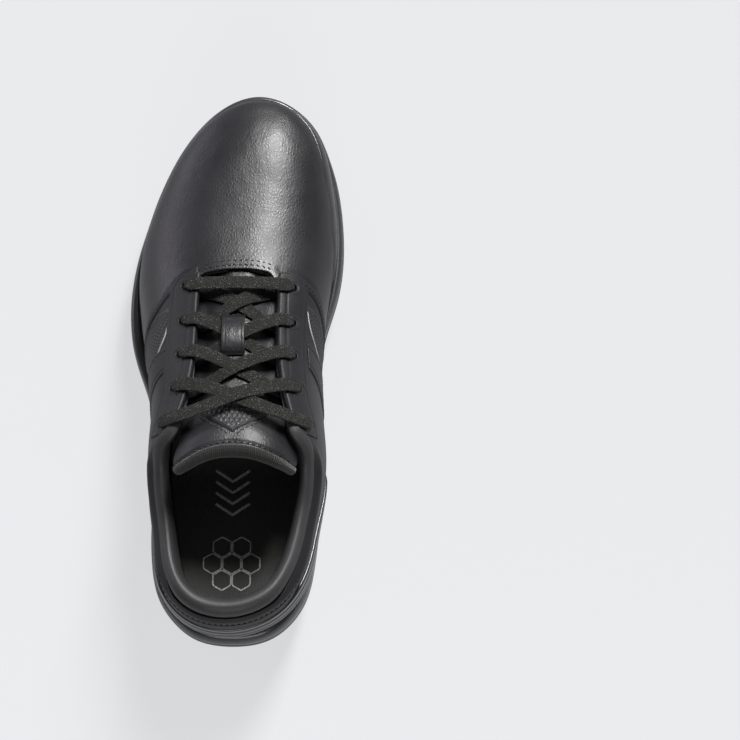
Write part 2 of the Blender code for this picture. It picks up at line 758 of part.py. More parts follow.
def quarter_grid(side, columns, low=0.0, seam=None):
    """Columns run from the slanted front edge back, rows from the sole up."""
    rows, front_spans = 9, 5
    share = np.linspace(0, 1, rows) ** ROW_CROWDING
    front = front_edge(side, share)
    upright = float(upper.turn_at(side, -20.0))
    turn = [front + (upright - front) * k / front_spans for k in range(front_spans + 1)]
    turn += [np.full(rows, float(upper.turn_at(side, y))) for y in columns]
    if seam is not None:
        turn.append(np.full(rows, seam))
    turn = np.array(turn)
    return turn, np.maximum(low, quarter_top(turn) * share)


def build_eyelet_cutter(side):
    items = []
    for y, half in EYELETS:
        x = float(ridge_x(y)) + side * half
        centre = over(x, y, -1.0)
        axis = over(x, y, 1.0) - centre
        items.append((tuple(centre), tuple(axis), EYELET_R, 10.0))
    return cylinders(f"helper_eyelets_{SIDE_NAMES[side]}", items)


def build_eyestay(side):
    """A band outside the quarter, along the throat."""
    back, up = grid(13, 5)
    front_y, rear_y = 39.5, -50.5
    y = front_y + (rear_y - front_y) * back
    turn = upper.turn_at(side, y)
    high = angle_at_half(turn, throat_half(y) + OVERLAY_INSET)
    low_z = base_point(turn, high)[..., 2] - (14.7 + 2.1 * back)
    low = angle_at_height(turn, np.maximum(low_z, rim_z(y) + 6))
    angle = low + (high - low) * up
    name = f"eyestay_{SIDE_NAMES[side]}"
    return patch(name, "smooth_leather", turn, angle, outer=1.5, inner=0.3)


def build_side_panel(side):
    """A broad plain band from the eyestay down to the sole."""
    back, up = grid(6, 8)
    up = up**ROW_CROWDING
    y = (2 - 16 * back) * up + (-14 - 22 * back) * (1 - up)
    turn = upper.turn_at(side, y)
    low = angle_at_height(turn, rim_z(y) + PANEL_RISE)
    throat = angle_at_half(turn, throat_half(y) + OVERLAY_INSET)
    high = angle_at_height(turn, base_point(turn, throat)[..., 2] - 19.5)
    angle = low + (high - low) * up
    name = f"side_panel_{SIDE_NAMES[side]}"
    patch(name, "smooth_leather", turn, angle, outer=1.2, inner=0.4)


def build_quarters():
    cutters = {side: build_eyelet_cutter(side) for side in (LATERAL, MEDIAL)}
    for side, cutter in cutters.items():
        label = SIDE_NAMES[side]
        place = quarter_grid(side, COLUMNS, seam=HEEL_SEAM[side])
        quarter = patch(
            f"quarter_{label}", "smooth_leather", *place, outer=0.0, inner=-LEATHER
        )
        boolean(quarter, cutter, "DIFFERENCE")
        place = quarter_grid(side, COLUMNS[:4], low=LINING_LOW_ANGLE)
        lining = patch(f"quarter_lining_{label}", "textile", *place, outer=-2.7, inner=-3.6)
        boolean(lining, cutter, "DIFFERENCE")
        boolean(build_eyestay(side), cutter, "DIFFERENCE")
        build_side_panel(side)


# ---------------------------------------------------------------- heel pieces
PAD_FRONT_Y = -51.2
PAD_LOW, PAD_HIGH = 34, 1.5  # lower and upper edge of the collar foam, below the collar


def heel_arc(front_y):
    """Turns round the heel from the lateral to the medial side, at the quarters' columns."""
    stations = [front_y] + [y for y in COLUMNS if y < front_y - 1.5]
    lateral = [float(upper.turn_at(LATERAL, y)) for y in stations]
    medial = [float(upper.turn_at(MEDIAL, y)) - 1.0 for y in stations]
    return np.array([*lateral, 0.0, *medial[::-1]])


def heel_rows(front_y, heights):
    """Turns and angles round the heel, one row for each height function."""
    turn = heel_arc(front_y)
    _, y = upper.at(turn)
    angle = np.stack([angle_at_height(turn, height(y)) for height in heights], 1)
    return np.broadcast_to(turn[:, None], angle.shape), angle


def heel_grid(front_y, rows, low_z, high_z):
    """Turns and angles round the heel, rows evenly spread between two height functions."""
    turn = heel_arc(front_y)[:, None]
    _, y = upper.at(turn)
    low, high = angle_at_height(turn, low_z(y)), angle_at_height(turn, high_z(y))
    angle = low + (high - low) * np.linspace(0, 1, rows)
    return np.broadcast_to(turn, angle.shape), angle


def below_collar(drop):
    return lambda y: collar_at(y) - drop


FOAM_ROWS = [below_collar(drop) for drop in np.linspace(PAD_LOW, PAD_HIGH, 6)]
LINING_ROWS = [
    lambda y: rim_z(y) - 3.4,
    lambda y: rim_z(y) + 4,
    lambda y: (rim_z(y) + 4 + collar_at(y) - PAD_LOW) / 2,
    *FOAM_ROWS,
    below_collar(0.5),
]


def pad_thickness(turn, angle):
    """Thickness of the collar's padding, thinner towards the front ends."""
    place = base_point(turn, angle)
    y, z = place[..., 1], place[..., 2]
    up = np.clip((z - (collar_at(y) - PAD_LOW)) / (PAD_LOW - PAD_HIGH), 0, 1)
    front = 0.3 + 0.7 * np.clip((-51 - y) / 15, 0, 1)
    return 0.8 + 5.4 * front * np.sin(up * math.pi * 0.62) ** 1.2


def build_heel_counter():
    place = heel_grid(
        -72,
        7,
        lambda y: rim_z(y) - 3.6,
        lambda y: 57 + 6 * np.clip((-y - 90) / 50, 0, 1),
    )
    patch("heel_counter", "stiffener", *place, outer=-1.85, inner=-2.45)


def build_collar():
    place = heel_rows(PAD_FRONT_Y, FOAM_ROWS)
    patch("collar_foam", "foam", *place, outer=-2.8, inner=-2.8 - pad_thickness(*place))
    place = heel_rows(PAD_FRONT_Y, LINING_ROWS)
    pad = pad_thickness(*place)
    patch("collar_lining", "textile", *place, outer=-3.2 - pad, inner=-4.1 - pad)


def build_backstay():
    place = heel_grid(-128, 6, lambda y: 62.0, below_collar(9))
    patch("backstay", "smooth_leather", *place, outer=1.5, inner=0.3)


def build_stabiliser():
    """A low band round the heel that rises towards its rear."""
    rows = 5
    place = heel_grid(
        -62,
        rows,
        lambda y: rim_z(y) + PANEL_RISE,
        lambda y: rim_z(y) + 5.5 + 18 * np.clip((-y - 62) / 60, 0, 1) ** 0.8,
    )
    outer = 2.3 - 0.7 * np.linspace(0, 1, rows) ** 2
    patch("heel_stabiliser", "gloss_tpu", *place, outer=outer, inner=0.4)


def build_heel():
    build_heel_counter()
    build_collar()
    build_backstay()
    build_stabiliser()


# ---------------------------------------------------------------- tongue
HINGE_Y = -46.0
FLAP_ARCH = 8.0  # how much further back the flap's sides reach than its middle
# name, material, top and bottom depth, front y, rows of the fixed part,
# distance of either part from the hinge line, rear y of the flap
TONGUE_LAYERS = [
    ("cover", "grain_leather", 0.0, 1.1, 40.5, 12, 0.6, -61.0),
    ("foam", "foam", 1.5, 6.4, 38.0, 11, 0.8, -60.6),
    ("lining", "textile", 6.8, 7.6, 38.0, 11, 0.8, -60.6),
]


def tongue_half(y):
    return 24.0 + 7.0 * np.clip((45 - y) / 100, 0, 1)


def tongue_face(across, y, depth):
    """Points this depth under the tongue's top face; the depth shrinks towards the edges.

    across runs from -1 to 1.
    """
    x = ridge_x(y) + across * tongue_half(y)
    return over(x, y, tongue_drop(across, y) - depth * (1 - 0.35 * across**2))


def tongue_drop(across, y):
    """Offset of the tongue's top face: it rises in the middle of the throat."""
    share = np.clip((np.abs(across) * tongue_half(y) - 3) / (throat_half(y) - 5), 0, 1)
    return -2.5 - 3.9 * share * share * (3 - 2 * share)


# the flap folds about a line through the crown of the tongue's top face
HINGE = tuple(
    float(v) for v in over(float(ridge_x(HINGE_Y)), HINGE_Y, tongue_drop(0.0, HINGE_Y))
)


def tongue_piece(name, material, front_y, rear_y, rows, depths, arch=0.0, origin=None):
    back, across = np.meshgrid(
        np.linspace(0, 1, rows), np.linspace(-1, 1, 11), indexing="ij"
    )
    y = front_y + (rear_y - arch * across**2 - front_y) * back
    top, bottom = (tongue_face(across, y, depth) for depth in depths)
    add_object(name, sheet_solid(top, bottom), material, origin)


def build_tongue_layers():
    for name, material, top, bottom, front_y, rows, gap, _ in TONGUE_LAYERS:
        tongue_piece(
            f"tongue_{name}", material, front_y, HINGE_Y + gap, rows, (top, bottom)
        )
    for name, material, top, bottom, _, _, gap, rear_y in TONGUE_LAYERS:
        tongue_piece(
            f"tongue_flap_{name}", material, HINGE_Y - gap, rear_y, 4, (top, bottom),
            arch=FLAP_ARCH, origin=HINGE,
        )


def build_binding():
    """The knitted roll along the tongue's rear edge."""
    across = np.linspace(-1, 1, 15)
    y = -61.5 - FLAP_ARCH * across**2
    x = ridge_x(y) + across * tongue_half(y)
    top = over(x, y, tongue_drop(across, y) + 0.2)
    low = tongue_face(across, y, 7.7)
    middle, up = (top + low) / 2, (top - low) / 2
    back = np.array([0, -1, 0.1]) * 3.4
    steps = 6
    rows = []
    for k in range(steps + 1):
        angle = math.pi * k / steps
        rows.append(middle + up * math.cos(angle) + back * math.sin(angle))
    columns, last = len(across), steps * len(across)
    faces = grid_faces(len(rows), columns)
    faces += [[j, j + 1, last + j + 1, last + j] for j in range(columns - 1)]
    for end in (0, columns - 1):
        faces.append([i * columns + end for i in range(len(rows))])
    add_object("tongue_binding", solid_from(np.vstack(rows), faces), "textile", HINGE)


def build_lace_keeper():
    """A strap over the crossing between the second and third eyelets."""
    back, across = grid(9, 3)
    y = 15.2 - 22.0 * back
    x = ridge_x(y) + (across - 0.5) * 11.5
    lift = np.sin(back * math.pi) ** 0.6 * 5.4
    top, low = over(x, y, -2.5 + 1.4 + lift), over(x, y, -2.5 + 0.3 + lift)
    add_object("lace_keeper", sheet_solid(top, low), "grain_leather")


def build_tongue_patch():
    """A patch near the tongue's top that narrows towards the rear."""
    back, across = np.meshgrid(np.linspace(0, 1, 5), np.linspace(-1, 1, 7), indexing="ij")
    y = -33.0 - 11.5 * back
    aside = across * (15.5 * (1 - back) + 1.5)
    x = ridge_x(y) + aside
    drop = tongue_drop(aside / tongue_half(y), y)
    shape = sheet_solid(over(x, y, drop + 0.9), over(x, y, drop + 0.3))
    add_object("tongue_patch", shape, "gloss_tpu")


def build_tongue():
    build_tongue_layers()
    build_binding()
    build_lace_keeper()
    build_tongue_patch()


# ---------------------------------------------------------------- lace
UNDER, ABOVE = -4.95, 2.7  # offsets of the lace under and above the eyelets
# Path by an eyelet: distance towards the throat over the surface, offset, lace width
TOP_OF_HOLE = [
    (0.0, -2.4, LACE_IN_HOLE), (0.0, 0.8, LACE_IN_HOLE), (0.5, 2.1, 3.4), (1.8, ABOVE, 4.4),
    (4.6, ABOVE + 0.1, LACE_WIDTH), (8.2, ABOVE + 0.1, LACE_WIDTH),
]
UNDER_HOLE = [
    (8.6, UNDER, LACE_WIDTH), (6.0, UNDER, LACE_WIDTH - 1.6), (2.7, UNDER, 3.6),
    (0.8, UNDER + 0.5, LACE_IN_HOLE),
]
UPWARDS = UNDER_HOLE + TOP_OF_HOLE
DOWNWARDS = UPWARDS[::-1]
TOP_EYELET = len(EYELETS) - 1
UPPER_STRAND_LIFT = 1.9
# Eyelets in order after the top lateral one: side, row from the toe end, path through it,
# lift of the strand that leads to it
LACE_RUN = [
    (MEDIAL, 3, DOWNWARDS, UPPER_STRAND_LIFT),
    (LATERAL, 2, DOWNWARDS, 0.0),
    (MEDIAL, 1, DOWNWARDS, UPPER_STRAND_LIFT),
    (LATERAL, 0, UPWARDS, 0.0),
    (MEDIAL, 0, DOWNWARDS, 0.0),  # the bar over the toe end of the throat
    (LATERAL, 1, UPWARDS, UPPER_STRAND_LIFT),
    (MEDIAL, 2, UPWARDS, 0.0),
    (LATERAL, 3, UPWARDS, UPPER_STRAND_LIFT),
    (MEDIAL, TOP_EYELET, TOP_OF_HOLE[::-1], 0.0),
]
# Free end inside the shoe: distance below the top eyelet, offset
FREE_END = [(26, -6.4), (20, -6.4), (14, -6.3), (8, -6.0), (3.5, -5.8), (1.2, -5.4)]


def eyelet_xy(side, row):
    y, half = EYELETS[row]
    return float(ridge_x(y)) + side * half, y


def hole(side, row, profile):
    """Path points (x, y, offset, width) by an eyelet."""
    x, y = eyelet_xy(side, row)
    # length over the surface of half a millimetre in plan
    step = float(np.linalg.norm(over(x, y, 0.0) - over(x - side * 0.5, y, 0.0)))
    return [
        (x - side * distance * 0.5 / step, y, offset, width)
        for distance, offset, width in profile
    ]


def crossing(start, end, lift):
    """Path points over the throat, following the tongue's crown, raised by lift near it."""
    steps = 8
    share = np.arange(1, steps) / steps
    x = start[0] + (end[0] - start[0]) * share
    rise = end[1] - start[1]
    y = start[1] + rise * (3 * share * share - 2 * share**3) * 0.5 + rise * share * 0.5
    aside = x - ridge_x(y)
    line = start[2] + (end[2] - start[2]) * share
    floor = tongue_drop(aside / tongue_half(y), y) + 1.15
    offset = np.maximum(line, floor) + lift * np.exp(-((aside / 10.0) ** 2))
    return list(zip(x, y, offset, [LACE_WIDTH] * len(share)))


def free_end(side):
    """Points, widths and width directions from the lace's tip up to the top eyelet."""
    x, y = eyelet_xy(side, TOP_EYELET)
    turn = float(upper.turn_at(side, y))
    eyelet_angle = float(angle_at_half(turn, abs(x - float(ridge_x(y)))))
    below, offset = np.array(FREE_END).T
    angle = angle_at_height(turn, float(base_point(turn, eyelet_angle)[2]) - below)
    widths = np.where(below > 3, 4.2, LACE_IN_HOLE)
    return surface(turn, angle, offset), widths, np.tile([0.0, 1.0, -0.3], (len(below), 1))


def lace_path():
    """Points, widths and width directions from the lateral free end to the medial one."""
    path = hole(LATERAL, TOP_EYELET, TOP_OF_HOLE)
    for side, row, profile, lift in LACE_RUN:
        arrive = hole(side, row, profile)
        path += crossing(path[-1], arrive[0], lift)
        path += arrive
    x, y, offset, widths = np.array(path).T
    middle = (over(x, y, offset), widths, over(x, y + 1, 0.0) - over(x, y - 1, 0.0))
    medial = [values[::-1] for values in free_end(MEDIAL)]
    parts = zip(free_end(LATERAL), middle, medial)
    points, widths, along = (np.concatenate(part) for part in parts)
    return points, widths, along / np.linalg.norm(along, axis=1, keepdims=True)


def ribbon(points, widths, along, thick):
    """A flat closed strip, its width as near as possible to the direction at each point."""
    step = np.diff(points, axis=0)
    step /= np.linalg.norm(step, axis=1, keepdims=True)
    tangent = np.vstack([step[:1], step[:-1] + step[1:], step[-1:]])
    tangent /= np.linalg.norm(tangent, axis=1, keepdims=True)
    wide = along - (tangent * along).sum(1)[:, None] * tangent
    wide /= np.linalg.norm(wide, axis=1, keepdims=True)
    aside = wide * (widths[:, None] / 2)
    up = np.cross(tangent, wide) * (thick / 2)
    corners = [points + aside + up, points + aside - up, points - aside - up,
               points - aside + up]
    last = (len(points) - 1) * 4
    faces = band_faces([range(k * 4, k * 4 + 4) for k in range(len(points))])
    faces += [[0, 1, 2, 3], [last + k for k in (3, 2, 1, 0)]]
    return solid_from(np.stack(corners, 1).reshape(-1, 3), faces)


def build_aglet(name, end, before):
    """A tapered tip that carries on from the end of the lace."""
    length, gap = 16, 0.4
    away = Vector(end - before).normalized()
    centre = Vector(end) + away * gap + away * (length / 2)
    shape = bmesh.new()
    add_cone(shape, centre, turn_to(away), 1.5, 1.2, length, 10)
    add_object(name, shape, "aglet")


def build_lace():
    points, widths, along = lace_path()
    add_object("lace", ribbon(points, widths, along, LACE_THICK), "lace")
    build_aglet("aglet_lateral", points[0], points[1])
    build_aglet("aglet_medial", points[-1], points[-2])


build_bottom()
build_inside()
build_forefoot()
build_quarters()
build_heel()
build_tongue()
build_lace()
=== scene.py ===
import math

import bmesh
import bpy
import numpy as np
from mathutils import Matrix, Vector, noise


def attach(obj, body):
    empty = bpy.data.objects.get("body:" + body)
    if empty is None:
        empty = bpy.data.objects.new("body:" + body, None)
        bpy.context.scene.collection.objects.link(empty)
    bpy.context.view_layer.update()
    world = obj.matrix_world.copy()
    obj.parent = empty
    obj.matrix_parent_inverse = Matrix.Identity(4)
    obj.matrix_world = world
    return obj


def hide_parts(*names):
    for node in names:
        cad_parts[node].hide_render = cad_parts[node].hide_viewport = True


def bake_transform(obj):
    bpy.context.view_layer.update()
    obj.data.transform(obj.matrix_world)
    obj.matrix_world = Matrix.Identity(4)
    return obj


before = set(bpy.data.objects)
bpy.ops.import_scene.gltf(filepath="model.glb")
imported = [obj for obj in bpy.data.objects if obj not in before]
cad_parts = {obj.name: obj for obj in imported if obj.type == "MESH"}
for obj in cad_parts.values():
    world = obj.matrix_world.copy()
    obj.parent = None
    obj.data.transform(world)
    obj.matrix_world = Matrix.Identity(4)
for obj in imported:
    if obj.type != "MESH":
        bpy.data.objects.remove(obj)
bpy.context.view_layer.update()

MM = 0.001
X_SHIFT = -1.6  # moves the plan tables so that the origin is under the middle of the sole's width

# ---------------------------------------------------------------- driving dimensions, mm
FEATHER_DROP = 4.4  # lower edge of the upper, below the midsole rim
TUCK = 4.5  # how far the upper pulls in at its lower edge
GAP = 0.3
LEATHER = 1.4
LACE_WIDTH, LACE_THICK = 7.0, 1.3
LACE_IN_HOLE = 3.0
EYELET_R = 2.45
SPIKE_R = 9.6
SPIKE_STUD_R = 3.7
RECEPTACLE_R = 7.6
OUTSOLE_THICK = 4.0

# Plan outline of the upper at its widest, from the heel round the lateral side to the toe and back
UPPER_PLAN = [
    (0, -142.5), (-17.5, -138), (-28.5, -127), (-34.6, -110), (-38, -90), (-41, -68),
    (-41.6, -50), (-41, -35), (-41.8, -20), (-44.2, -6), (-46.8, 6), (-49.2, 19),
    (-50.8, 32), (-51, 46), (-48.6, 63), (-43.8, 80), (-37, 98), (-28.2, 115),
    (-17, 130), (-3, 141.8), (12.5, 147.2), (29, 143.6), (41, 132.6), (48.8, 117.5),
    (52.9, 100), (55.2, 82), (55.7, 64), (54.3, 45), (51.8, 28), (49.6, 14),
    (48, 0), (47.4, -14), (48.2, -30), (49.6, -48), (49.4, -66), (47, -82),
    (43, -101), (37, -118), (28.5, -131), (16, -139.4),
]
# Plan outline of the sole at its widest
SOLE_PLAN = [
    (0, -150.6), (-18.5, -146.8), (-31.6, -136), (-38.6, -124), (-41.7, -109), (-42.6, -92),
    (-42.2, -70), (-42, -48), (-43, -30), (-46.2, -16), (-50.6, -3.5), (-54.4, 9.5),
    (-56.2, 23), (-56.3, 36), (-54.8, 50), (-52, 63.5), (-48.3, 76.5), (-44.2, 89.8),
    (-39, 103), (-32.2, 116.3), (-22.8, 129.6), (-9, 142.4), (12, 150), (32, 143.6),
    (45, 131), (51.8, 116.3), (55.8, 103), (58.2, 89.5), (59.4, 76), (59.6, 63),
    (58.6, 50), (56, 36.5), (51.6, 22), (47.7, 6), (46, -10), (46, -30),
    (46.8, -50), (47.2, -70), (46.6, -92), (44.7, -109), (41.2, -124), (34.5, -136), (21.5, -146.8),
]
# Stations along the length: (y, value)
RIDGE_X = [(-150, 0), (-104, 1), (-75, 3), (-44, 5), (0, 5), (43, 5.5), (75, 8.5), (106, 12.5), (150, 14)]
RIDGE_Z = [(-150, 136), (-104, 130), (-75, 121), (-60, 115), (-44, 107), (-20, 97), (0, 88), (22, 78.5), (43, 70.5), (60, 65.5), (80, 61), (106, 56.5), (150, 50)]
EXPONENT = [(-150, 0.84), (-104, 0.80), (-75, 0.68), (-44, 0.64), (0, 0.74), (43, 0.86), (80, 0.88), (150, 0.86)]
RIM_Z = [(-153, 37), (-130, 36), (-100, 34.5), (-50, 31.5), (0, 28.5), (50, 26.5), (90, 27.5), (120, 31), (140, 34.5), (153, 37)]
BOTTOM_Z = [(-153, 9.5), (-143, 7.2), (-128, 5.7), (-100, 5.2), (0, 5.2), (55, 5.2), (85, 6.6), (110, 9.6), (135, 14.5), (153, 19)]
COLLAR_Z = [(-150, 89), (-143.5, 88.5), (-135, 87), (-120, 82.5), (-100, 78), (-85, 77), (-72, 80), (-62, 85.5), (-55, 93), (-50, 99)]
THROAT_HALF = [(-54, 33.5), (-50, 31.8), (-44, 29.4), (-25, 23.8), (-6, 21.3), (12, 20.8), (33, 20.6), (43, 20.2), (60, 19)]
# rear edge of the vamp: share of the way down from the ridge to the feather edge, and y
VAMP_REAR = [(0, 41.5), (0.224, 41.2), (0.454, 35.4), (0.59, 29.5), (0.786, 15.5), (1, -2)]
# eyelets: y, distance from the ridge line in plan
EYELETS = [(33, 27.6), (12.5, 27.8), (-6.5, 28.4), (-25, 31.0), (-44, 36.6)]
# spikes: x, y
SPIKES = [(24.4, 99), (-17.6, 97), (33.4, 47), (-34.6, 40), (19.4, -108), (-23.6, -104)]


class Stations:
    """A natural cubic through (x, y) stations, held constant beyond its ends."""

    def __init__(self, table):
        self.x = np.array([p[0] for p in table], float)
        self.y = np.array([p[1] for p in table], float)
        n, h = len(table), np.diff(self.x)
        a, r = np.eye(n), np.zeros(n)
        for i in range(1, n - 1):
            a[i, i - 1 : i + 2] = h[i - 1], 2 * (h[i - 1] + h[i]), h[i]
            r[i] = 6 * ((self.y[i + 1] - self.y[i]) / h[i] - (self.y[i] - self.y[i - 1]) / h[i - 1])
        self.m = np.linalg.solve(a, r)

    def __call__(self, q):
        q = np.clip(np.asarray(q, float), self.x[0], self.x[-1])
        i = np.clip(np.searchsorted(self.x, q) - 1, 0, len(self.x) - 2)
        h = self.x[i + 1] - self.x[i]
        a, b = (self.x[i + 1] - q) / h, (q - self.x[i]) / h
        return a * self.y[i] + b * self.y[i + 1] + ((a**3 - a) * self.m[i] + (b**3 - b) * self.m[i + 1]) * h * h / 6


class Plan:
    """A closed plan outline. t runs 0 to 0.5 from the heel along the lateral side to the toe, and 0.5 to 1 back along the medial side."""

    def __init__(self, points, samples=6000):
        p = np.array(points, float) + [X_SHIFT, 0]
        n = len(p)
        chord = np.linalg.norm(np.roll(p, -1, 0) - p, axis=1)
        s = np.concatenate([[0], np.cumsum(chord)])
        a, r = np.zeros((n, n)), np.zeros((n, 2))
        for i in range(n):
            h0, h1 = chord[i - 1], chord[i]
            a[i, (i - 1) % n] += h0
            a[i, i] += 2 * (h0 + h1)
            a[i, (i + 1) % n] += h1
            r[i] = 6 * ((p[(i + 1) % n] - p[i]) / h1 - (p[i] - p[i - 1]) / h0)
        m = np.linalg.solve(a, r)
        q = np.linspace(0, s[-1], samples, endpoint=False)
        i = np.clip(np.searchsorted(s, q, side="right") - 1, 0, n - 1)
        h = chord[i][:, None]
        b = ((q - s[i]) / chord[i])[:, None]
        c = 1 - b
        j = (i + 1) % n
        d = c * p[i] + b * p[j] + ((c**3 - c) * m[i] + (b**3 - b) * m[j]) * h * h / 6
        d = np.roll(d, -int(np.argmin(d[:, 1])), 0)
        toe = int(np.argmax(d[:, 1]))
        halves = [d[: toe + 1], np.vstack([d[toe:], d[:1]])]
        self.t, self.x, self.y = [], [], []
        for k, half in enumerate(halves):
            step = np.concatenate([[0], np.cumsum(np.linalg.norm(np.diff(half, axis=0), axis=1))])
            self.t.append(0.5 * k + 0.5 * step / step[-1])
            self.x.append(half[:, 0])
            self.y.append(half[:, 1])
        self.tt = np.concatenate([self.t[0], self.t[1][1:]])
        self.xx = np.concatenate([self.x[0], self.x[1][1:]])
        self.yy = np.concatenate([self.y[0], self.y[1][1:]])
        self.heel, self.toe = float(self.yy.min()), float(self.yy.max())

    def at(self, t):
        t = np.mod(t, 1.0)
        return np.interp(t, self.tt, self.xx), np.interp(t, self.tt, self.yy)

    def t_at(self, side, y):
        """t of the point with this y on the lateral (-1) or medial (+1) side."""
        if side < 0:
            return np.interp(y, self.y[0], self.t[0])
        return np.interp(y, self.y[1][::-1], self.t[1][::-1])

    def inset(self, t, d):
        """The point d inside the outline, along its normal."""
        e = 0.004
        x0, y0 = self.at(t - e)
        x1, y1 = self.at(t + e)
        x, y = self.at(t)
        tx, ty = x1 - x0, y1 - y0
        n = np.hypot(tx, ty)
        return x + ty / n * d, y - tx / n * d


upper, sole = Plan(UPPER_PLAN), Plan(SOLE_PLAN)
ridge_x, ridge_z, exponent = Stations([(y, x + X_SHIFT) for y, x in RIDGE_X]), Stations(RIDGE_Z), Stations(EXPONENT)
rim_z, bottom_z, collar_z = Stations(RIM_Z), Stations(BOTTOM_Z), Stations(COLLAR_Z)
throat_half, vamp_rear = Stations(THROAT_HALF), Stations(VAMP_REAR)


def spine_y(y):
    """Where on the ridge line a section that starts at outline point y ends."""
    y = np.asarray(y, float)
    front = 62 + 46 * np.tanh((y - 62) / 46)
    rear = -75 - 30 * np.tanh((-75 - y) / 30)
    return np.where(y > 62, front, np.where(y < -75, rear, y))


def base_point(t, th):
    t, th = np.broadcast_arrays(np.asarray(t, float), np.clip(np.asarray(th, float), 0, math.pi / 2))
    x, y = upper.at(t)
    qy = spine_y(y)
    qx = ridge_x(qy)
    p = exponent(y)
    c = np.where(th > math.pi / 2 - 1e-9, 0, np.maximum(np.cos(th), 0) ** p)
    s = np.sin(th) ** p
    xx, yy = x + (qx - x) * (1 - c), y + (qy - y) * (1 - c)
    z0 = rim_z(y) - FEATHER_DROP
    z = z0 + (ridge_z(yy) - z0) * s
    k = TUCK * (1 - np.clip((z - z0) / 18, 0, 1)) ** 2
    run = np.hypot(qx - x, qy - y)
    return np.stack([xx + (qx - x) / run * k, yy + (qy - y) / run * k, z], -1)


def base_normal(t, th):
    t, th = np.broadcast_arrays(np.asarray(t, float), np.asarray(th, float))
    e = 1e-4
    dt = base_point(t + e, th) - base_point(t - e, th)
    dh = base_point(t, np.minimum(th + e, math.pi / 2)) - base_point(t, np.maximum(th - e, 0))
    n = np.cross(dh, dt)
    n /= np.maximum(np.linalg.norm(n, axis=-1, keepdims=True), 1e-12)
    y = base_point(t, th)[..., 1]
    slope = (ridge_z(y + 0.5) - ridge_z(y - 0.5)) / 1.0
    top = np.stack([np.zeros_like(y), -slope, np.ones_like(y)], -1)
    top /= np.linalg.norm(top, axis=-1, keepdims=True)
    near = np.clip((th - (math.pi / 2 - 0.03)) / 0.03, 0, 1)[..., None]
    n = n * (1 - near) + top * near
    return n / np.linalg.norm(n, axis=-1, keepdims=True)


def fullness(t, th):
    """How far the finished upper stands outside the base surface low on its sides, where the real leather bulges over the sole."""
    x, y = upper.at(t)
    lateral = np.clip((ridge_x(spine_y(y)) - x) / 38 + 0.5, 0, 1)
    lateral = lateral * lateral * (3 - 2 * lateral)
    toe = np.clip((y - 95) / 45, 0, 1)
    fore = np.clip((y - 25) / 45, 0, 1)
    heel = np.clip((-y - 88) / 36, 0, 1)
    amount = (2.1 * fore + 1.1 * toe) * lateral + (1 - lateral) * (0.4 * fore + 1.5 * toe) + 2.6 * heel * heel * (3 - 2 * heel)
    z = base_point(t, th)[..., 2] - rim_z(y)
    up = np.clip((z - 1.6) / 6.0, 0, 1)
    down = np.clip((th - 0.22) / 0.78, 0, 1)
    return amount * up * up * (3 - 2 * up) * (1 - down * down * (3 - 2 * down))


def toe_rise(p):
    """How much higher the finished toe box stands than the base surface: full close behind the feather edge, nothing at the ball."""
    y = p[..., 1]
    window = np.clip((y - 25) / 105, 0, 1)
    window = window * window * (3 - 2 * window)
    height = np.clip(p[..., 2] - rim_z(y) - 0.6, 0, None)
    return 5.0 * window * (1 - np.exp(-height / 4.5))


def surface(t, th, d=0.0):
    """A point on the base surface, d outside it, with the fullness of the sides and the toe."""
    d = (np.asarray(d, float) + fullness(t, th))[..., None]
    p = base_point(t, th)
    out = p + base_normal(t, th) * d
    out[..., 2] += toe_rise(p)
    return out


def theta_at_z(t, z):
    """The section angle where the base surface reaches height z."""
    x, y = upper.at(t)
    z0 = rim_z(y) - FEATHER_DROP
    p = exponent(y)
    qy = spine_y(y)
    th = np.full(np.shape(t), 0.5)
    for _ in range(12):
        c = np.cos(th) ** p
        top = ridge_z(y + (qy - y) * (1 - c))
        th = np.arcsin(np.clip((z - z0) / (top - z0), 0, 1) ** (1 / p))
    return th


def theta_at_half(t, half):
    """The section angle where the surface is this far from the ridge line in plan."""
    x, y = upper.at(t)
    share = np.clip(half / np.abs(x - ridge_x(spine_y(y))), 0, 1)
    return np.arccos(share ** (1 / exponent(y)))


def over(x, y, d=0.0):
    """The base surface above plan point (x, y) of the instep, d outside it."""
    x, y = np.broadcast_arrays(np.asarray(x, float), np.asarray(y, float))
    side = np.where(x < ridge_x(y), -1, 1)
    t = np.where(side < 0, upper.t_at(-1, y), upper.t_at(1, y))
    return surface(t, theta_at_half(t, np.abs(x - ridge_x(y))), d)


def theta_top(t):
    """The upper edge of the quarter: the throat in front of the top eyelet, the collar behind it."""
    _, y = upper.at(t)
    blend = np.clip((y + 52) / 3, 0, 1)
    front = theta_at_half(t, throat_half(np.maximum(y, -53)))
    back = theta_at_z(t, collar_z(np.minimum(y, -50)))
    return front * blend + back * (1 - blend)


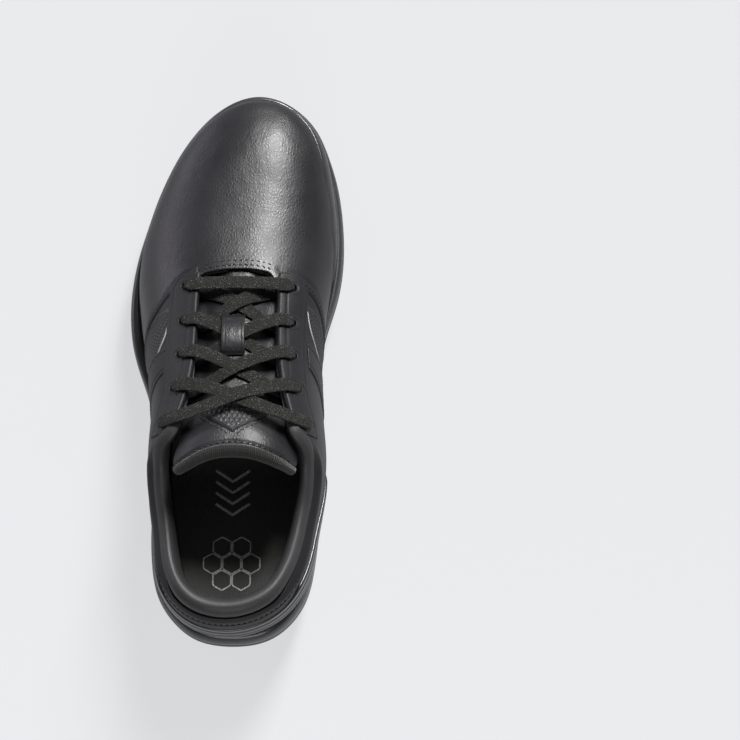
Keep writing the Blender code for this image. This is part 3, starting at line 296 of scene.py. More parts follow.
# ---------------------------------------------------------------- node materials
class Mat:
    """A Principled material and short ways to add nodes to it."""

    def __init__(self, name, colour, rough, metal=0.0, specular=0.5):
        self.m = bpy.data.materials.new(name)
        self.m.use_nodes = True
        self.t = self.m.node_tree
        self.b = self.t.nodes["Principled BSDF"]
        self.b.inputs["Roughness"].default_value = rough
        self.b.inputs["Metallic"].default_value = metal
        self.b.inputs["Specular IOR Level"].default_value = specular
        self.b.inputs["Base Color"].default_value = (*colour, 1)
        self.m.diffuse_color = (*colour, 1)
        self.co = self.node("ShaderNodeTexCoord").outputs["Object"]

    def node(self, kind, **settings):
        n = self.t.nodes.new(kind)
        for k, v in settings.items():
            setattr(n, k, v)
        return n

    def plug(self, value, socket):
        if isinstance(value, bpy.types.NodeSocket):
            self.t.links.new(value, socket)
        else:
            socket.default_value = value

    def math(self, op, a, b=0.0, c=0.0):
        n = self.node("ShaderNodeMath", operation=op)
        self.plug(a, n.inputs[0])
        self.plug(b, n.inputs[1])
        if op in ("MULTIPLY_ADD", "SMOOTH_MIN", "SMOOTH_MAX", "COMPARE"):
            self.plug(c, n.inputs[2])
        return n.outputs[0]

    def noise(self, scale, detail=3.0, rough=0.55, vector=None, distortion=0.0):
        n = self.node("ShaderNodeTexNoise")
        n.inputs["Scale"].default_value = scale
        n.inputs["Detail"].default_value = detail
        n.inputs["Roughness"].default_value = rough
        n.inputs["Distortion"].default_value = distortion
        self.plug(vector or self.co, n.inputs["Vector"])
        return n

    def voronoi(self, scale, feature="F1", vector=None, randomness=1.0):
        n = self.node("ShaderNodeTexVoronoi", feature=feature)
        n.inputs["Scale"].default_value = scale
        n.inputs["Randomness"].default_value = randomness
        self.plug(vector or self.co, n.inputs["Vector"])
        return n

    def spread(self, value, lo, hi, to_lo=0.0, to_hi=1.0, smooth=True):
        n = self.node("ShaderNodeMapRange", interpolation_type="SMOOTHSTEP" if smooth else "LINEAR")
        self.plug(value, n.inputs["Value"])
        for key, v in (("From Min", lo), ("From Max", hi), ("To Min", to_lo), ("To Max", to_hi)):
            self.plug(v, n.inputs[key])
        return n.outputs["Result"]

    def mix(self, share, a, b):
        n = self.node("ShaderNodeMix", data_type="RGBA")
        self.plug(share, n.inputs["Factor"])
        for v, s in ((a, n.inputs[6]), (b, n.inputs[7])):
            self.plug((*v, 1) if isinstance(v, tuple) and len(v) == 3 else v, s)
        return n.outputs[2]

    def warped(self, amount, scale):
        """Object coordinates pushed about by noise, amount in metres."""
        n = self.noise(scale, 2.0)
        sub = self.node("ShaderNodeVectorMath", operation="SUBTRACT")
        self.t.links.new(n.outputs["Color"], sub.inputs[0])
        sub.inputs[1].default_value = (0.5, 0.5, 0.5)
        mul = self.node("ShaderNodeVectorMath", operation="SCALE")
        self.t.links.new(sub.outputs[0], mul.inputs[0])
        mul.inputs["Scale"].default_value = amount
        add = self.node("ShaderNodeVectorMath", operation="ADD")
        self.t.links.new(self.co, add.inputs[0])
        self.t.links.new(mul.outputs[0], add.inputs[1])
        return add.outputs[0]

    def stretch(self, vector, factors):
        n = self.node("ShaderNodeVectorMath", operation="MULTIPLY")
        self.plug(vector, n.inputs[0])
        n.inputs[1].default_value = factors
        return n.outputs[0]

    def wave(self, scale, vector=None, direction="X", profile="SIN"):
        n = self.node("ShaderNodeTexWave", bands_direction=direction, wave_profile=profile)
        n.inputs["Scale"].default_value = scale
        self.plug(vector or self.co, n.inputs["Vector"])
        return n.outputs["Fac"]

    def attribute(self, name):
        n = self.node("ShaderNodeAttribute", attribute_name=name)
        return n.outputs["Vector"]

    def split(self, vector):
        n = self.node("ShaderNodeSeparateXYZ")
        self.plug(vector, n.inputs[0])
        return n.outputs

    def bump(self, height, distance, strength=1.0, normal=None):
        n = self.node("ShaderNodeBump")
        n.inputs["Strength"].default_value = strength
        n.inputs["Distance"].default_value = distance
        self.plug(height, n.inputs["Height"])
        if normal is not None:
            self.t.links.new(normal, n.inputs["Normal"])
        return n.outputs["Normal"]

    def edges(self, lo=0.52, hi=0.62):
        """1 along convex edges, for wear."""
        g = self.node("ShaderNodeNewGeometry")
        return self.spread(g.outputs["Pointiness"], lo, hi)

    def finish(self, colour=None, rough=None, normal=None):
        if colour is not None:
            self.plug(colour, self.b.inputs["Base Color"])
        if rough is not None:
            self.plug(rough, self.b.inputs["Roughness"])
        if normal is not None:
            self.t.links.new(normal, self.b.inputs["Normal"])
        return self.m


def leather(name, dark, light, rough, cell, depth, wrinkle, coat=0.0, worn=(0.045, 0.044, 0.048), shine=0.5):
    """Tumbled leather: pebbles with sunken creases between them, painted shade darkening the creases, pores, slow
    change of tone and lighter worn edges. cell is the pebble's size in metres.
    """
    m = Mat(name, dark, rough)
    warp = m.warped(cell * 0.9, 0.55 / cell)
    warp = m.stretch(warp, (1.0, 0.70, 1.0))
    crease = m.voronoi(1 / cell, "DISTANCE_TO_EDGE", warp).outputs["Distance"]
    pebble = m.spread(crease, 0.0, 0.42)
    fold = m.noise(0.6 / cell, 2.0, 0.5, warp, 0.5).outputs["Fac"]
    pore = m.noise(4.2 / cell, 2.0, 0.5).outputs["Fac"]
    slow = m.noise(22, 3.0).outputs["Fac"]
    patch = m.spread(slow, 0.3, 0.7)
    height = m.math("ADD", m.math("MULTIPLY", pebble, 0.7), m.math("MULTIPLY", fold, wrinkle))
    height = m.math("ADD", height, m.math("MULTIPLY", pore, 0.03))
    colour = m.mix(patch, dark, light)
    # painted shade: the colour darkens towards 0.6 of dark along the creases between the pebbles
    colour = m.mix(m.math("MULTIPLY", m.math("SUBTRACT", 1.0, pebble), 0.3), colour, tuple(c * 0.6 for c in dark))
    colour = m.mix(m.math("MULTIPLY", m.edges(), 0.5), colour, worn)
    r = m.math("ADD", m.spread(slow, 0.3, 0.7, rough - 0.04, rough + 0.05), m.math("MULTIPLY", m.math("SUBTRACT", 1.0, pebble), 0.05))
    m.b.inputs["Coat Weight"].default_value = coat
    m.b.inputs["Coat Roughness"].default_value = 0.3
    m.b.inputs["Specular IOR Level"].default_value = shine
    return m.finish(colour, r, m.bump(height, depth))


def moulded(name, dark, light, rough, texture=900.0, depth=0.00004, coat=0.0, worn=(0.06, 0.06, 0.062), scuff=0.25):
    """Moulded plastic or rubber: a fine spark-eroded texture, faint flow marks, lighter edges and a few dull scuffs."""
    m = Mat(name, dark, rough)
    grain = m.voronoi(texture, "F1").outputs["Distance"]
    flow = m.noise(35, 4.0, 0.6, m.stretch(m.co, (1, 0.35, 2.5))).outputs["Fac"]
    dust = m.noise(180, 5.0, 0.7).outputs["Fac"]
    colour = m.mix(m.spread(flow, 0.35, 0.7), dark, light)
    colour = m.mix(m.math("MULTIPLY", m.edges(), 0.6), colour, worn)
    r = m.math("ADD", m.spread(flow, 0.3, 0.7, rough - 0.03, rough + 0.06), m.math("MULTIPLY", m.spread(dust, 0.56, 0.7), scuff))
    m.b.inputs["Coat Weight"].default_value = coat
    m.b.inputs["Coat Roughness"].default_value = 0.12
    normal = m.bump(m.math("ADD", grain, m.math("MULTIPLY", dust, 0.5)), depth)
    return m.finish(colour, r, normal)


def cloth(name, dark, light, thread, rough=0.9, depth=0.00018, sheen=0.25, stretch=(1, 1, 1)):
    """A knitted cloth: offset rows of small loops. thread is the loop spacing in metres."""
    m = Mat(name, dark, rough, specular=0.25)
    co = m.stretch(m.warped(thread * 0.3, 90), stretch)
    x, y, z = m.split(co)
    k = 2 * math.pi / thread
    a = m.math("SINE", m.math("MULTIPLY", x, k))
    b = m.math("SINE", m.math("MULTIPLY", y, k * 0.8))
    c = m.math("SINE", m.math("MULTIPLY", z, k * 0.8))
    loops = m.math("MULTIPLY", a, m.math("ADD", b, c))
    h = m.spread(loops, -1.4, 1.4)
    fuzz = m.noise(2.2 / thread, 3.0, 0.7).outputs["Fac"]
    slow = m.noise(30, 3.0).outputs["Fac"]
    colour = m.mix(h, tuple(v * 0.5 for v in dark), light)
    colour = m.mix(m.spread(slow, 0.35, 0.65, 0.0, 0.35), colour, dark)
    m.b.inputs["Sheen Weight"].default_value = sheen
    m.b.inputs["Sheen Roughness"].default_value = 0.6
    normal = m.bump(m.math("ADD", h, m.math("MULTIPLY", fuzz, 0.5)), depth)
    return m.finish(colour, m.spread(fuzz, 0.3, 0.7, rough - 0.06, min(1.0, rough + 0.06)), normal)


def lace_material():
    """Flat braid: two sets of slanted ribs crossing, from the ribbon's own across (x) and along (y) coordinates in metres, with pale fibre flecks."""
    m = Mat("lace_braid", (0.02, 0.02, 0.019), 0.8, specular=0.3)
    x, y, _ = m.split(m.attribute("braid"))
    k = 2 * math.pi / 0.00135
    left = m.math("SINE", m.math("MULTIPLY", m.math("ADD", y, m.math("MULTIPLY", x, 1.2)), k))
    right = m.math("SINE", m.math("MULTIPLY", m.math("SUBTRACT", y, m.math("MULTIPLY", x, 1.2)), k))
    over_under = m.math("SINE", m.math("MULTIPLY", x, 2 * math.pi / 0.0019))
    rib = m.math("MAXIMUM", m.math("MULTIPLY", left, m.math("ADD", 0.55, m.math("MULTIPLY", over_under, 0.45))), m.math("MULTIPLY", right, m.math("SUBTRACT", 0.55, m.math("MULTIPLY", over_under, 0.45))))
    h = m.spread(rib, -0.6, 0.95)
    fibre = m.noise(2600, 2.0, 0.6).outputs["Fac"]
    fleck = m.noise(1500, 1.5, 0.6).outputs["Fac"]
    patch = m.noise(260, 3.0, 0.6).outputs["Fac"]
    colour = m.mix(h, (0.0010, 0.0010, 0.0009), (0.0150, 0.0150, 0.0138))
    colour = m.mix(m.math("MULTIPLY", m.spread(fleck, 0.56, 0.68), m.spread(patch, 0.35, 0.62, 0.25, 0.9)), colour, (0.115, 0.115, 0.104))
    normal = m.bump(m.math("ADD", h, m.math("MULTIPLY", fibre, 0.5)), 0.00035)
    return m.finish(colour, m.spread(fibre, 0.3, 0.7, 0.7, 0.9), normal)


def thread_material(name, dark, light, rough=0.6):
    """Twisted sewing thread."""
    m = Mat(name, dark, rough)
    twist = m.wave(1500, m.stretch(m.co, (1, 1, 1)), "DIAGONAL")
    fluff = m.noise(2500, 2.0).outputs["Fac"]
    colour = m.mix(twist, dark, light)
    return m.finish(colour, m.spread(fluff, 0.3, 0.7, rough - 0.1, rough + 0.15), m.bump(m.math("ADD", twist, fluff), 0.00008))


def knit_rib_material():
    """Ribbed knit of the binding: ribs follow the piece's own across coordinate."""
    m = Mat("knit_rib", (0.02, 0.02, 0.02), 0.9, specular=0.25)
    x, y, _ = m.split(m.attribute("braid"))
    rib = m.math("SINE", m.math("MULTIPLY", x, 2 * math.pi / 0.0010))
    stitch = m.math("SINE", m.math("MULTIPLY", y, 2 * math.pi / 0.0009))
    fuzz = m.noise(2200, 3.0, 0.7).outputs["Fac"]
    h = m.spread(m.math("ADD", rib, m.math("MULTIPLY", stitch, 0.4)), -1.2, 1.2)
    colour = m.mix(h, (0.012, 0.012, 0.0115), (0.034, 0.0335, 0.031))
    colour = m.mix(m.spread(fuzz, 0.6, 0.75, 0.0, 0.5), colour, (0.09, 0.09, 0.085))
    m.b.inputs["Sheen Weight"].default_value = 0.3
    return m.finish(colour, 0.9, m.bump(m.math("ADD", h, m.math("MULTIPLY", fuzz, 0.5)), 0.0002))


def foam_material(name, dark, light):
    m = Mat(name, dark, 0.95, specular=0.2)
    cells = m.voronoi(1300, "SMOOTH_F1").outputs["Distance"]
    slow = m.noise(60, 4.0).outputs["Fac"]
    return m.finish(m.mix(m.spread(cells, 0.1, 0.6), dark, light), m.spread(slow, 0.3, 0.7, 0.85, 1.0), m.bump(cells, 0.0002))


def board_material():
    """Pressed fibre board: short fibres lying every way."""
    m = Mat("fibre_board", (0.16, 0.15, 0.13), 0.85)
    a = m.noise(240, 6.0, 0.7, m.stretch(m.co, (1, 6, 1))).outputs["Fac"]
    b = m.noise(240, 6.0, 0.7, m.stretch(m.co, (6, 1, 1))).outputs["Fac"]
    f = m.math("MAXIMUM", a, b)
    return m.finish(m.mix(m.spread(f, 0.45, 0.7), (0.11, 0.10, 0.085), (0.24, 0.22, 0.19)), 0.85, m.bump(f, 0.0001))


def print_material():
    m = Mat("sock_print", (0.16, 0.16, 0.155), 0.7)
    w = m.noise(900, 4.0, 0.7).outputs["Fac"]
    return m.finish(m.mix(m.spread(w, 0.4, 0.62), (0.5, 0.5, 0.49), (0.8, 0.8, 0.78)), 0.75, m.bump(w, 0.00005))


KEY_AZ, KEY_EL, KEY_DIST, KEY_POWER = 23, 46, 1.9, 66
KEY_AIM = Vector((0.0, 0.02, 0.06))


def floor_material():
    """Pale paper sweep, lit evenly from within so that the shadow stays faint. The glow makes up for the key light's falloff over the floor."""
    m = Mat("studio_floor", (0.14, 0.142, 0.146), 0.95, specular=0.0)
    n = m.noise(0.9, 3.0).outputs["Fac"]
    colour = m.mix(m.spread(n, 0.3, 0.7), (0.137, 0.139, 0.143), (0.143, 0.145, 0.149))
    m.b.inputs["Emission Color"].default_value = (0.970, 0.980, 1.0, 1)
    seen = m.node("ShaderNodeLightPath").outputs["Is Camera Ray"]
    az, el = math.radians(KEY_AZ), math.radians(KEY_EL)
    to_key = Vector((math.sin(az) * math.cos(el), math.cos(az) * math.cos(el), math.sin(el)))
    away = m.node("ShaderNodeVectorMath", operation="SUBTRACT")
    m.plug(m.co, away.inputs[0])
    away.inputs[1].default_value = KEY_AIM + to_key * KEY_DIST
    square = m.node("ShaderNodeVectorMath", operation="DOT_PRODUCT")
    facing = m.node("ShaderNodeVectorMath", operation="DOT_PRODUCT")
    for n_ in (square, facing):
        m.plug(away.outputs[0], n_.inputs[0])
    m.plug(away.outputs[0], square.inputs[1])
    facing.inputs[1].default_value = -to_key
    r2 = square.outputs["Value"]
    share = m.math("DIVIDE", m.math("MULTIPLY", facing.outputs["Value"], KEY_DIST**3), m.math("MULTIPLY", r2, r2))
    share = m.math("MAXIMUM", share, 0.0)
    at_shoe = 0.14 / math.pi * KEY_POWER / math.pi * math.sin(el) / KEY_DIST**2
    glow = m.math("MULTIPLY_ADD", share, -at_shoe, 0.20 + at_shoe)
    m.plug(m.math("MULTIPLY_ADD", seen, glow, 0.42), m.b.inputs["Emission Strength"])
    # a camera under the floor sees through it to the sole
    through = m.node("ShaderNodeMixShader")
    m.plug(m.math("MULTIPLY", m.node("ShaderNodeNewGeometry").outputs["Backfacing"], seen), through.inputs[0])
    m.t.links.new(m.b.outputs[0], through.inputs[1])
    m.t.links.new(m.node("ShaderNodeBsdfTransparent").outputs[0], through.inputs[2])
    m.t.links.new(through.outputs[0], m.t.nodes["Material Output"].inputs["Surface"])
    return m.finish(colour, 0.95)


M = {
    "grain_leather": leather("grain_leather_black", (0.0070, 0.0066, 0.0086), (0.0105, 0.0098, 0.0128), 0.37, 0.0016, 0.000054, 0.8),
    "smooth_leather": leather("smooth_leather_black", (0.0075, 0.0072, 0.0088), (0.0110, 0.0105, 0.0128), 0.46, 0.0009, 0.00004, 0.4, shine=0.34),
    "tongue_leather": leather("tongue_leather_black", (0.0085, 0.0081, 0.0102), (0.0125, 0.0118, 0.0148), 0.44, 0.0016, 0.00009, 0.9),
    "collar_leather": leather("collar_leather_black", (0.0250, 0.0250, 0.0265), (0.0350, 0.0350, 0.0370), 0.50, 0.0011, 0.00005, 0.5),
    "lining": cloth("lining_knit", (0.024, 0.024, 0.024), (0.050, 0.050, 0.049), 0.0011),
    "sockliner": cloth("sockliner_cloth", (0.078, 0.078, 0.0755), (0.132, 0.1315, 0.126), 0.0009, sheen=0.0),
    "knit": knit_rib_material(),
    "lace": lace_material(),
    "foam": foam_material("foam_grey", (0.02, 0.02, 0.021), (0.05, 0.05, 0.052)),
    "board": board_material(),
    "midsole": moulded("midsole_black", (0.0195, 0.0195, 0.021), (0.028, 0.028, 0.0305), 0.34, 1100, 0.00003, coat=0.25),
    "outsole": moulded("outsole_black", (0.010, 0.010, 0.011), (0.016, 0.016, 0.017), 0.36, 800, 0.00005, coat=0.1),
    "gloss_tpu": moulded("tpu_gloss_black", (0.012, 0.012, 0.013), (0.018, 0.018, 0.020), 0.29, 1300, 0.00002, coat=0.4, scuff=0.12),
    "shank": moulded("shank_nylon", (0.09, 0.09, 0.10), (0.13, 0.13, 0.14), 0.4, 700, 0.00005),
    "receptacle": moulded("receptacle_nylon", (0.24, 0.24, 0.25), (0.32, 0.32, 0.33), 0.45, 900, 0.00004),
    "spike": moulded("spike_tpu", (0.045, 0.045, 0.050), (0.065, 0.065, 0.072), 0.38, 1000, 0.00004, worn=(0.12, 0.12, 0.125)),
    "aglet": moulded("aglet_plastic", (0.012, 0.012, 0.012), (0.02, 0.02, 0.02), 0.2, 1500, 0.00002, coat=0.3),
    "thread": thread_material("thread_black", (0.006, 0.006, 0.006), (0.022, 0.022, 0.021)),
    "thread_light": thread_material("thread_charcoal", (0.03, 0.03, 0.031), (0.075, 0.075, 0.078)),
    "piping": moulded("piping_pewter", (0.20, 0.20, 0.21), (0.32, 0.32, 0.335), 0.3, 1200, 0.00003, coat=0.3, worn=(0.5, 0.5, 0.52), scuff=0.1),
    "window": moulded("window_tpu", (0.012, 0.012, 0.014), (0.022, 0.022, 0.025), 0.42, 1500, 0.00003),
    "patch": moulded("patch_tpu", (0.026, 0.026, 0.029), (0.046, 0.046, 0.050), 0.40, 1500, 0.00003, worn=(0.13, 0.13, 0.135)),
    "print": print_material(),
}


# ---------------------------------------------------------------- mesh helpers, all in millimetres
def to_object(name, points, faces, mats, inner=None, attrs=None, flip=True):
    """A mesh object from points in mm. inner lists the faces that take the second material."""
    me = bpy.data.meshes.new(name)
    me.from_pydata((np.asarray(points, float) * MM).tolist(), [], faces)
    for m in mats:
        me.materials.append(M[m])
    if inner is not None and len(mats) > 1:
        idx = np.zeros(len(me.polygons), np.int32)
        idx[np.asarray(inner, int)] = 1
        me.polygons.foreach_set("material_index", idx)
    if attrs is not None:
        a = me.attributes.new("braid", "FLOAT_VECTOR", "POINT")
        v = np.zeros((len(me.vertices), 3), np.float32)
        v[:, : attrs.shape[1]] = attrs * MM
        a.data.foreach_set("vector", v.reshape(-1))
    if flip:
        bm = bmesh.new()
        bm.from_mesh(me)
        bmesh.ops.recalc_face_normals(bm, faces=bm.faces)
        bm.to_mesh(me)
        bm.free()
    me.shade_smooth()
    obj = bpy.data.objects.new(name, me)
    bpy.context.scene.collection.objects.link(obj)
    return obj


def own(obj, body, slot, *nodes):
    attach(obj, body)
    if nodes:
        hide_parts(*nodes)
    return obj


def unit(v):
    return v / np.maximum(np.linalg.norm(v, axis=-1, keepdims=True), 1e-12)


def sheet(name, out, inn, mats, rim=5, bulge=1.0, attrs=None):
    """A closed sheet between two grids of points, with rounded edges that stand half its thickness beyond the grids."""
    if isinstance(mats, str):
        mats = [mats]
    n, m = out.shape[:2]
    fo, fi = out.reshape(-1, 3), inn.reshape(-1, 3)
    _, first, index = np.unique(np.round(fo, 3), axis=0, return_index=True, return_inverse=True)
    index = index.reshape(n, m)
    po = fo[first]
    pi = np.zeros_like(po)
    count = np.zeros(len(po))
    np.add.at(pi, index.reshape(-1), fi)
    np.add.at(count, index.reshape(-1), 1)
    pi /= count[:, None]
    quads = np.stack([index[:-1, :-1], index[:-1, 1:], index[1:, 1:], index[1:, :-1]], -1).reshape(-1, 4).tolist()
    faces = []
    for q in quads:
        f = list(dict.fromkeys(q))
        if len(f) > 2:
            faces.append(f)
    nrm = po - pi
    a = np.array([f[:3] for f in faces])
    turn = (np.cross(po[a[:, 1]] - po[a[:, 0]], po[a[:, 2]] - po[a[:, 0]]) * nrm[a[:, 0]]).sum()
    if turn < 0:
        faces = [f[::-1] for f in faces]
    half_edges = {}
    for f in faces:
        for k in range(len(f)):
            half_edges[(f[k], f[(k + 1) % len(f)])] = 1
    border = [(i, j) for i, j in half_edges if (j, i) not in half_edges]
    off = len(po)
    points = [po, pi]
    every = faces + [[k + off for k in f[::-1]] for f in faces]
    inner = list(range(len(faces), 2 * len(faces)))
    if border:
        b = np.array(border)
        o = np.zeros_like(po)
        side = np.cross(po[b[:, 1]] - po[b[:, 0]], unit(nrm[b[:, 0]] + nrm[b[:, 1]]))
        side = unit(side)
        np.add.at(o, b[:, 0], side)
        np.add.at(o, b[:, 1], side)
        verts = sorted(set(b.reshape(-1).tolist()))
        place = {v: k for k, v in enumerate(verts)}
        vv = np.array(verts)
        o = unit(o[vv])
        half = np.linalg.norm(nrm[vv], axis=1, keepdims=True) / 2
        mid = (po[vv] + pi[vv]) / 2
        base = 2 * off
        for k in range(1, rim):
            phi = math.pi * k / rim
            points.append(mid + nrm[vv] / 2 * math.cos(phi) + o * half * bulge * math.sin(phi))
        for i, j in border:
            chain_i = [i] + [base + (k - 1) * len(vv) + place[i] for k in range(1, rim)] + [i + off]
            chain_j = [j] + [base + (k - 1) * len(vv) + place[j] for k in range(1, rim)] + [j + off]
            for k in range(rim):
                every.append([chain_j[k], chain_i[k], chain_i[k + 1], chain_j[k + 1]])
    pts = np.vstack(points)
    extra = None
    if attrs is not None:
        fa = attrs.reshape(-1, attrs.shape[-1])[first]
        extra = np.zeros((len(pts), attrs.shape[-1]))
        extra[:off], extra[off : 2 * off] = fa, fa
        if border:
            for k in range(1, rim):
                s = 2 * off + (k - 1) * len(vv)
                extra[s : s + len(vv)] = fa[vv]
    return to_object(name, pts, every, mats, inner, extra)


def path_through(points, step):
    """A smooth path through points, resampled about every step mm: (points, distance along)."""
    p = np.asarray(points, float)
    s = np.concatenate([[0], np.cumsum(np.linalg.norm(np.diff(p, axis=0), axis=1))])
    q = np.linspace(0, s[-1], max(3, int(s[-1] / step) + 1))
    return np.stack([Stations(list(zip(s, p[:, k])))(q) for k in range(p.shape[1])], -1), q


def frames_along(points, hint):
    """Tangent, side and up along a path, with up as near hint as possible."""
    t = np.gradient(points, axis=0)
    t = unit(t)
    up = unit(hint - (t * hint).sum(1, keepdims=True) * t)
    return t, np.cross(t, up), up


def tube(name, points, up, radius, mats, segments=12, flat=1.0, attrs=False):
    """A round-ended tube along a path. radius is one number or one for each point; flat scales it along up."""
    points = np.asarray(points, float)
    r = np.broadcast_to(np.asarray(radius, float), (len(points),)).copy()
    t, side, upv = frames_along(points, np.asarray(up, float))
    rings, rad, base = [], [], []
    for k in (1, 2, 3):
        c = math.cos(math.pi / 2 * (1 - k / 4))
        base.append(points[0] - t[0] * r[0] * math.sqrt(max(0.0, 1 - c * c)))
        rad.append(r[0] * c)
    head = len(base)
    base = base + list(points)
    rad = rad + list(r)
    for k in (3, 2, 1):
        c = math.cos(math.pi / 2 * (1 - k / 4))
        base.append(points[-1] + t[-1] * r[-1] * math.sqrt(max(0.0, 1 - c * c)))
        rad.append(r[-1] * c)
    base, rad = np.array(base), np.array(rad)
    pick = np.clip(np.arange(len(base)) - head, 0, len(points) - 1)
    side, upv = side[pick], upv[pick]
    ang = 2 * math.pi * np.arange(segments) / segments
    ring = base[:, None, :] + rad[:, None, None] * (side[:, None, :] * np.cos(ang)[None, :, None] + flat * upv[:, None, :] * np.sin(ang)[None, :, None])
    n = len(base)
    pts = ring.reshape(-1, 3)
    faces = []
    for i in range(n - 1):
        for k in range(segments):
            j = (k + 1) % segments
            faces.append([i * segments + k, i * segments + j, (i + 1) * segments + j, (i + 1) * segments + k])
    faces.append(list(range(segments))[::-1])
    faces.append([(n - 1) * segments + k for k in range(segments)])
    return to_object(name, pts, faces, [mats])


def stitches(name, points, normals, length=2.1, gap=0.9, r=0.3, mat="thread", lift=0.12, lean=0.0):
    """A row of sewn stitches: short thread capsules whose ends dive into the material."""
    p = np.asarray(points, float)
    s = np.concatenate([[0], np.cumsum(np.linalg.norm(np.diff(p, axis=0), axis=1))])
    count = max(1, int(s[-1] / (length + gap)))
    mids = (np.arange(count) + 0.5) * s[-1] / count
    at = lambda q, a: np.stack([np.interp(q, s, a[:, k]) for k in range(3)], -1)
    normals = np.asarray(normals, float)
    pts, faces = [], []
    rows = ((-0.5, 0.25, -0.35), (-0.42, 0.75, -0.05), (-0.25, 1.0, 0.1), (0.0, 1.0, 0.16), (0.25, 1.0, 0.1), (0.42, 0.75, -0.05), (0.5, 0.25, -0.35))
    seg = 8
    for q in mids:
        a, b = at(q - length / 2, p), at(q + length / 2, p)
        n = unit(at(q, normals))
        d = b - a
        across = unit(np.cross(d, n))
        if lean:
            a, b = a - across * lean, b + across * lean
            d = b - a
            across = unit(np.cross(d, n))
        up = unit(np.cross(across, d))
        mid = (a + b) / 2
        k0 = len(pts)
        for f, w, h in rows:
            c = mid + d * f + up * (lift + h * (1 if h > 0 else 1))
            for k in range(seg):
                g = 2 * math.pi * k / seg
                pts.append(c + r * w * (across * math.cos(g) + up * math.sin(g)))
        for i in range(len(rows) - 1):
            for k in range(seg):
                j = (k + 1) % seg
                faces.append([k0 + i * seg + k, k0 + i * seg + j, k0 + (i + 1) * seg + j, k0 + (i + 1) * seg + k])
        faces.append([k0 + k for k in range(seg)][::-1])
        faces.append([k0 + (len(rows) - 1) * seg + k for k in range(seg)])
    return to_object(name, pts, faces, [mat])


def cut(obj, items, segments=28, angle=45):
    """Takes cylinders out of obj. Each item is (centre, axis, radius, half length) in mm."""
    bm = bmesh.new()
    for centre, axis, r, half in items:
        made = bmesh.ops.create_cone(bm, cap_ends=True, segments=segments, radius1=r * MM, radius2=r * MM, depth=2 * half * MM)
        turn = Vector((0, 0, 1)).rotation_difference(Vector(axis)).to_matrix().to_4x4()
        bmesh.ops.transform(bm, matrix=Matrix.Translation(Vector(centre) * MM) @ turn, verts=made["verts"])
    me = bpy.data.meshes.new("cutter")
    bm.to_mesh(me)
    bm.free()
    tool = bpy.data.objects.new("cutter", me)
    bpy.context.scene.collection.objects.link(tool)
    mod = obj.modifiers.new("cut", "BOOLEAN")
    mod.operation, mod.solver, mod.object = "DIFFERENCE", "EXACT", tool
    bpy.context.view_layer.update()
    graph = bpy.context.evaluated_depsgraph_get()
    new = bpy.data.meshes.new_from_object(obj.evaluated_get(graph))
    obj.modifiers.clear()
    old = obj.data
    obj.data = new
    bpy.data.meshes.remove(old)
    new.name = obj.name
    bpy.data.objects.remove(tool)
    bpy.data.meshes.remove(me)
    new.shade_smooth()
    new.set_sharp_from_angle(angle=math.radians(angle))
    return obj


def bell(x, centre, width):
    return np.exp(-(((x - centre) / width) ** 2))


def smooth(x, lo=0.0, hi=1.0):
    k = np.clip((np.asarray(x, float) - lo) / (hi - lo), 0, 1)
    return k * k * (3 - 2 * k)


def rumple(points, size, seed=0.0):
    """Perlin noise from -1 to 1 at each point, features about size mm across."""
    flat = np.asarray(points, float).reshape(-1, 3) / size + seed
    v = np.array([noise.noise(Vector(p)) for p in flat.tolist()])
    return v.reshape(np.shape(points)[:-1])


SIDES = ((-1, "lateral"), (1, "medial"))

# ---------------------------------------------------------------- midsole
SIDEWALL = Stations([(0, 4.2), (0.1, 2.2), (0.2, 1.1), (0.34, 0.55), (0.45, 0.25), (0.62, 0.35), (0.8, 0.65), (0.93, 1.0), (1, 1.7)])
N_RING = 420
ring = np.linspace(0, 1, N_RING, endpoint=False)
ring_x, ring_y = sole.at(ring)


def sole_point(inset, share, lift=0.0):
    """A ring at this share of the sidewall's height; inset and lift may vary round it."""
    x, y = sole.inset(ring, np.asarray(inset, float))
    low = bottom_z(ring_y) + OUTSOLE_THICK + GAP
    high = rim_z(ring_y) + 1.5
    return np.stack([x, y, low + (high - low) * share + lift], -1)


def sidewall_relief(share):
    """Sculpture of the sidewall, mm inwards: a channel all the way round, flutes at the heel and a step at the ball."""
    channel_at = 0.60 + 0.07 * np.sin(2 * math.pi * ring * 2 + 0.6)
    r = 0.75 * bell(share, channel_at, 0.035)
    heel = smooth((-ring_y - 55) / 50)
    for k in range(2):
        centre = 0.20 + 0.17 * k + 0.14 * np.clip((-ring_y - 60) / 90, 0, 1)
        r = r + 0.6 * heel * bell(share, centre, 0.045)
    fore = smooth((ring_y + 10) / 30) * smooth((118 - ring_y) / 25)
    ribs = 0.5 + 0.5 * np.cos(2 * math.pi * (ring_y + 26 * share) / 5.2)
    r = r + 0.32 * fore * ribs * smooth((share - 0.10) / 0.08) * smooth((0.42 - share) / 0.08)
    r = r + 0.35 * bell(share, 0.885, 0.018)
    return r


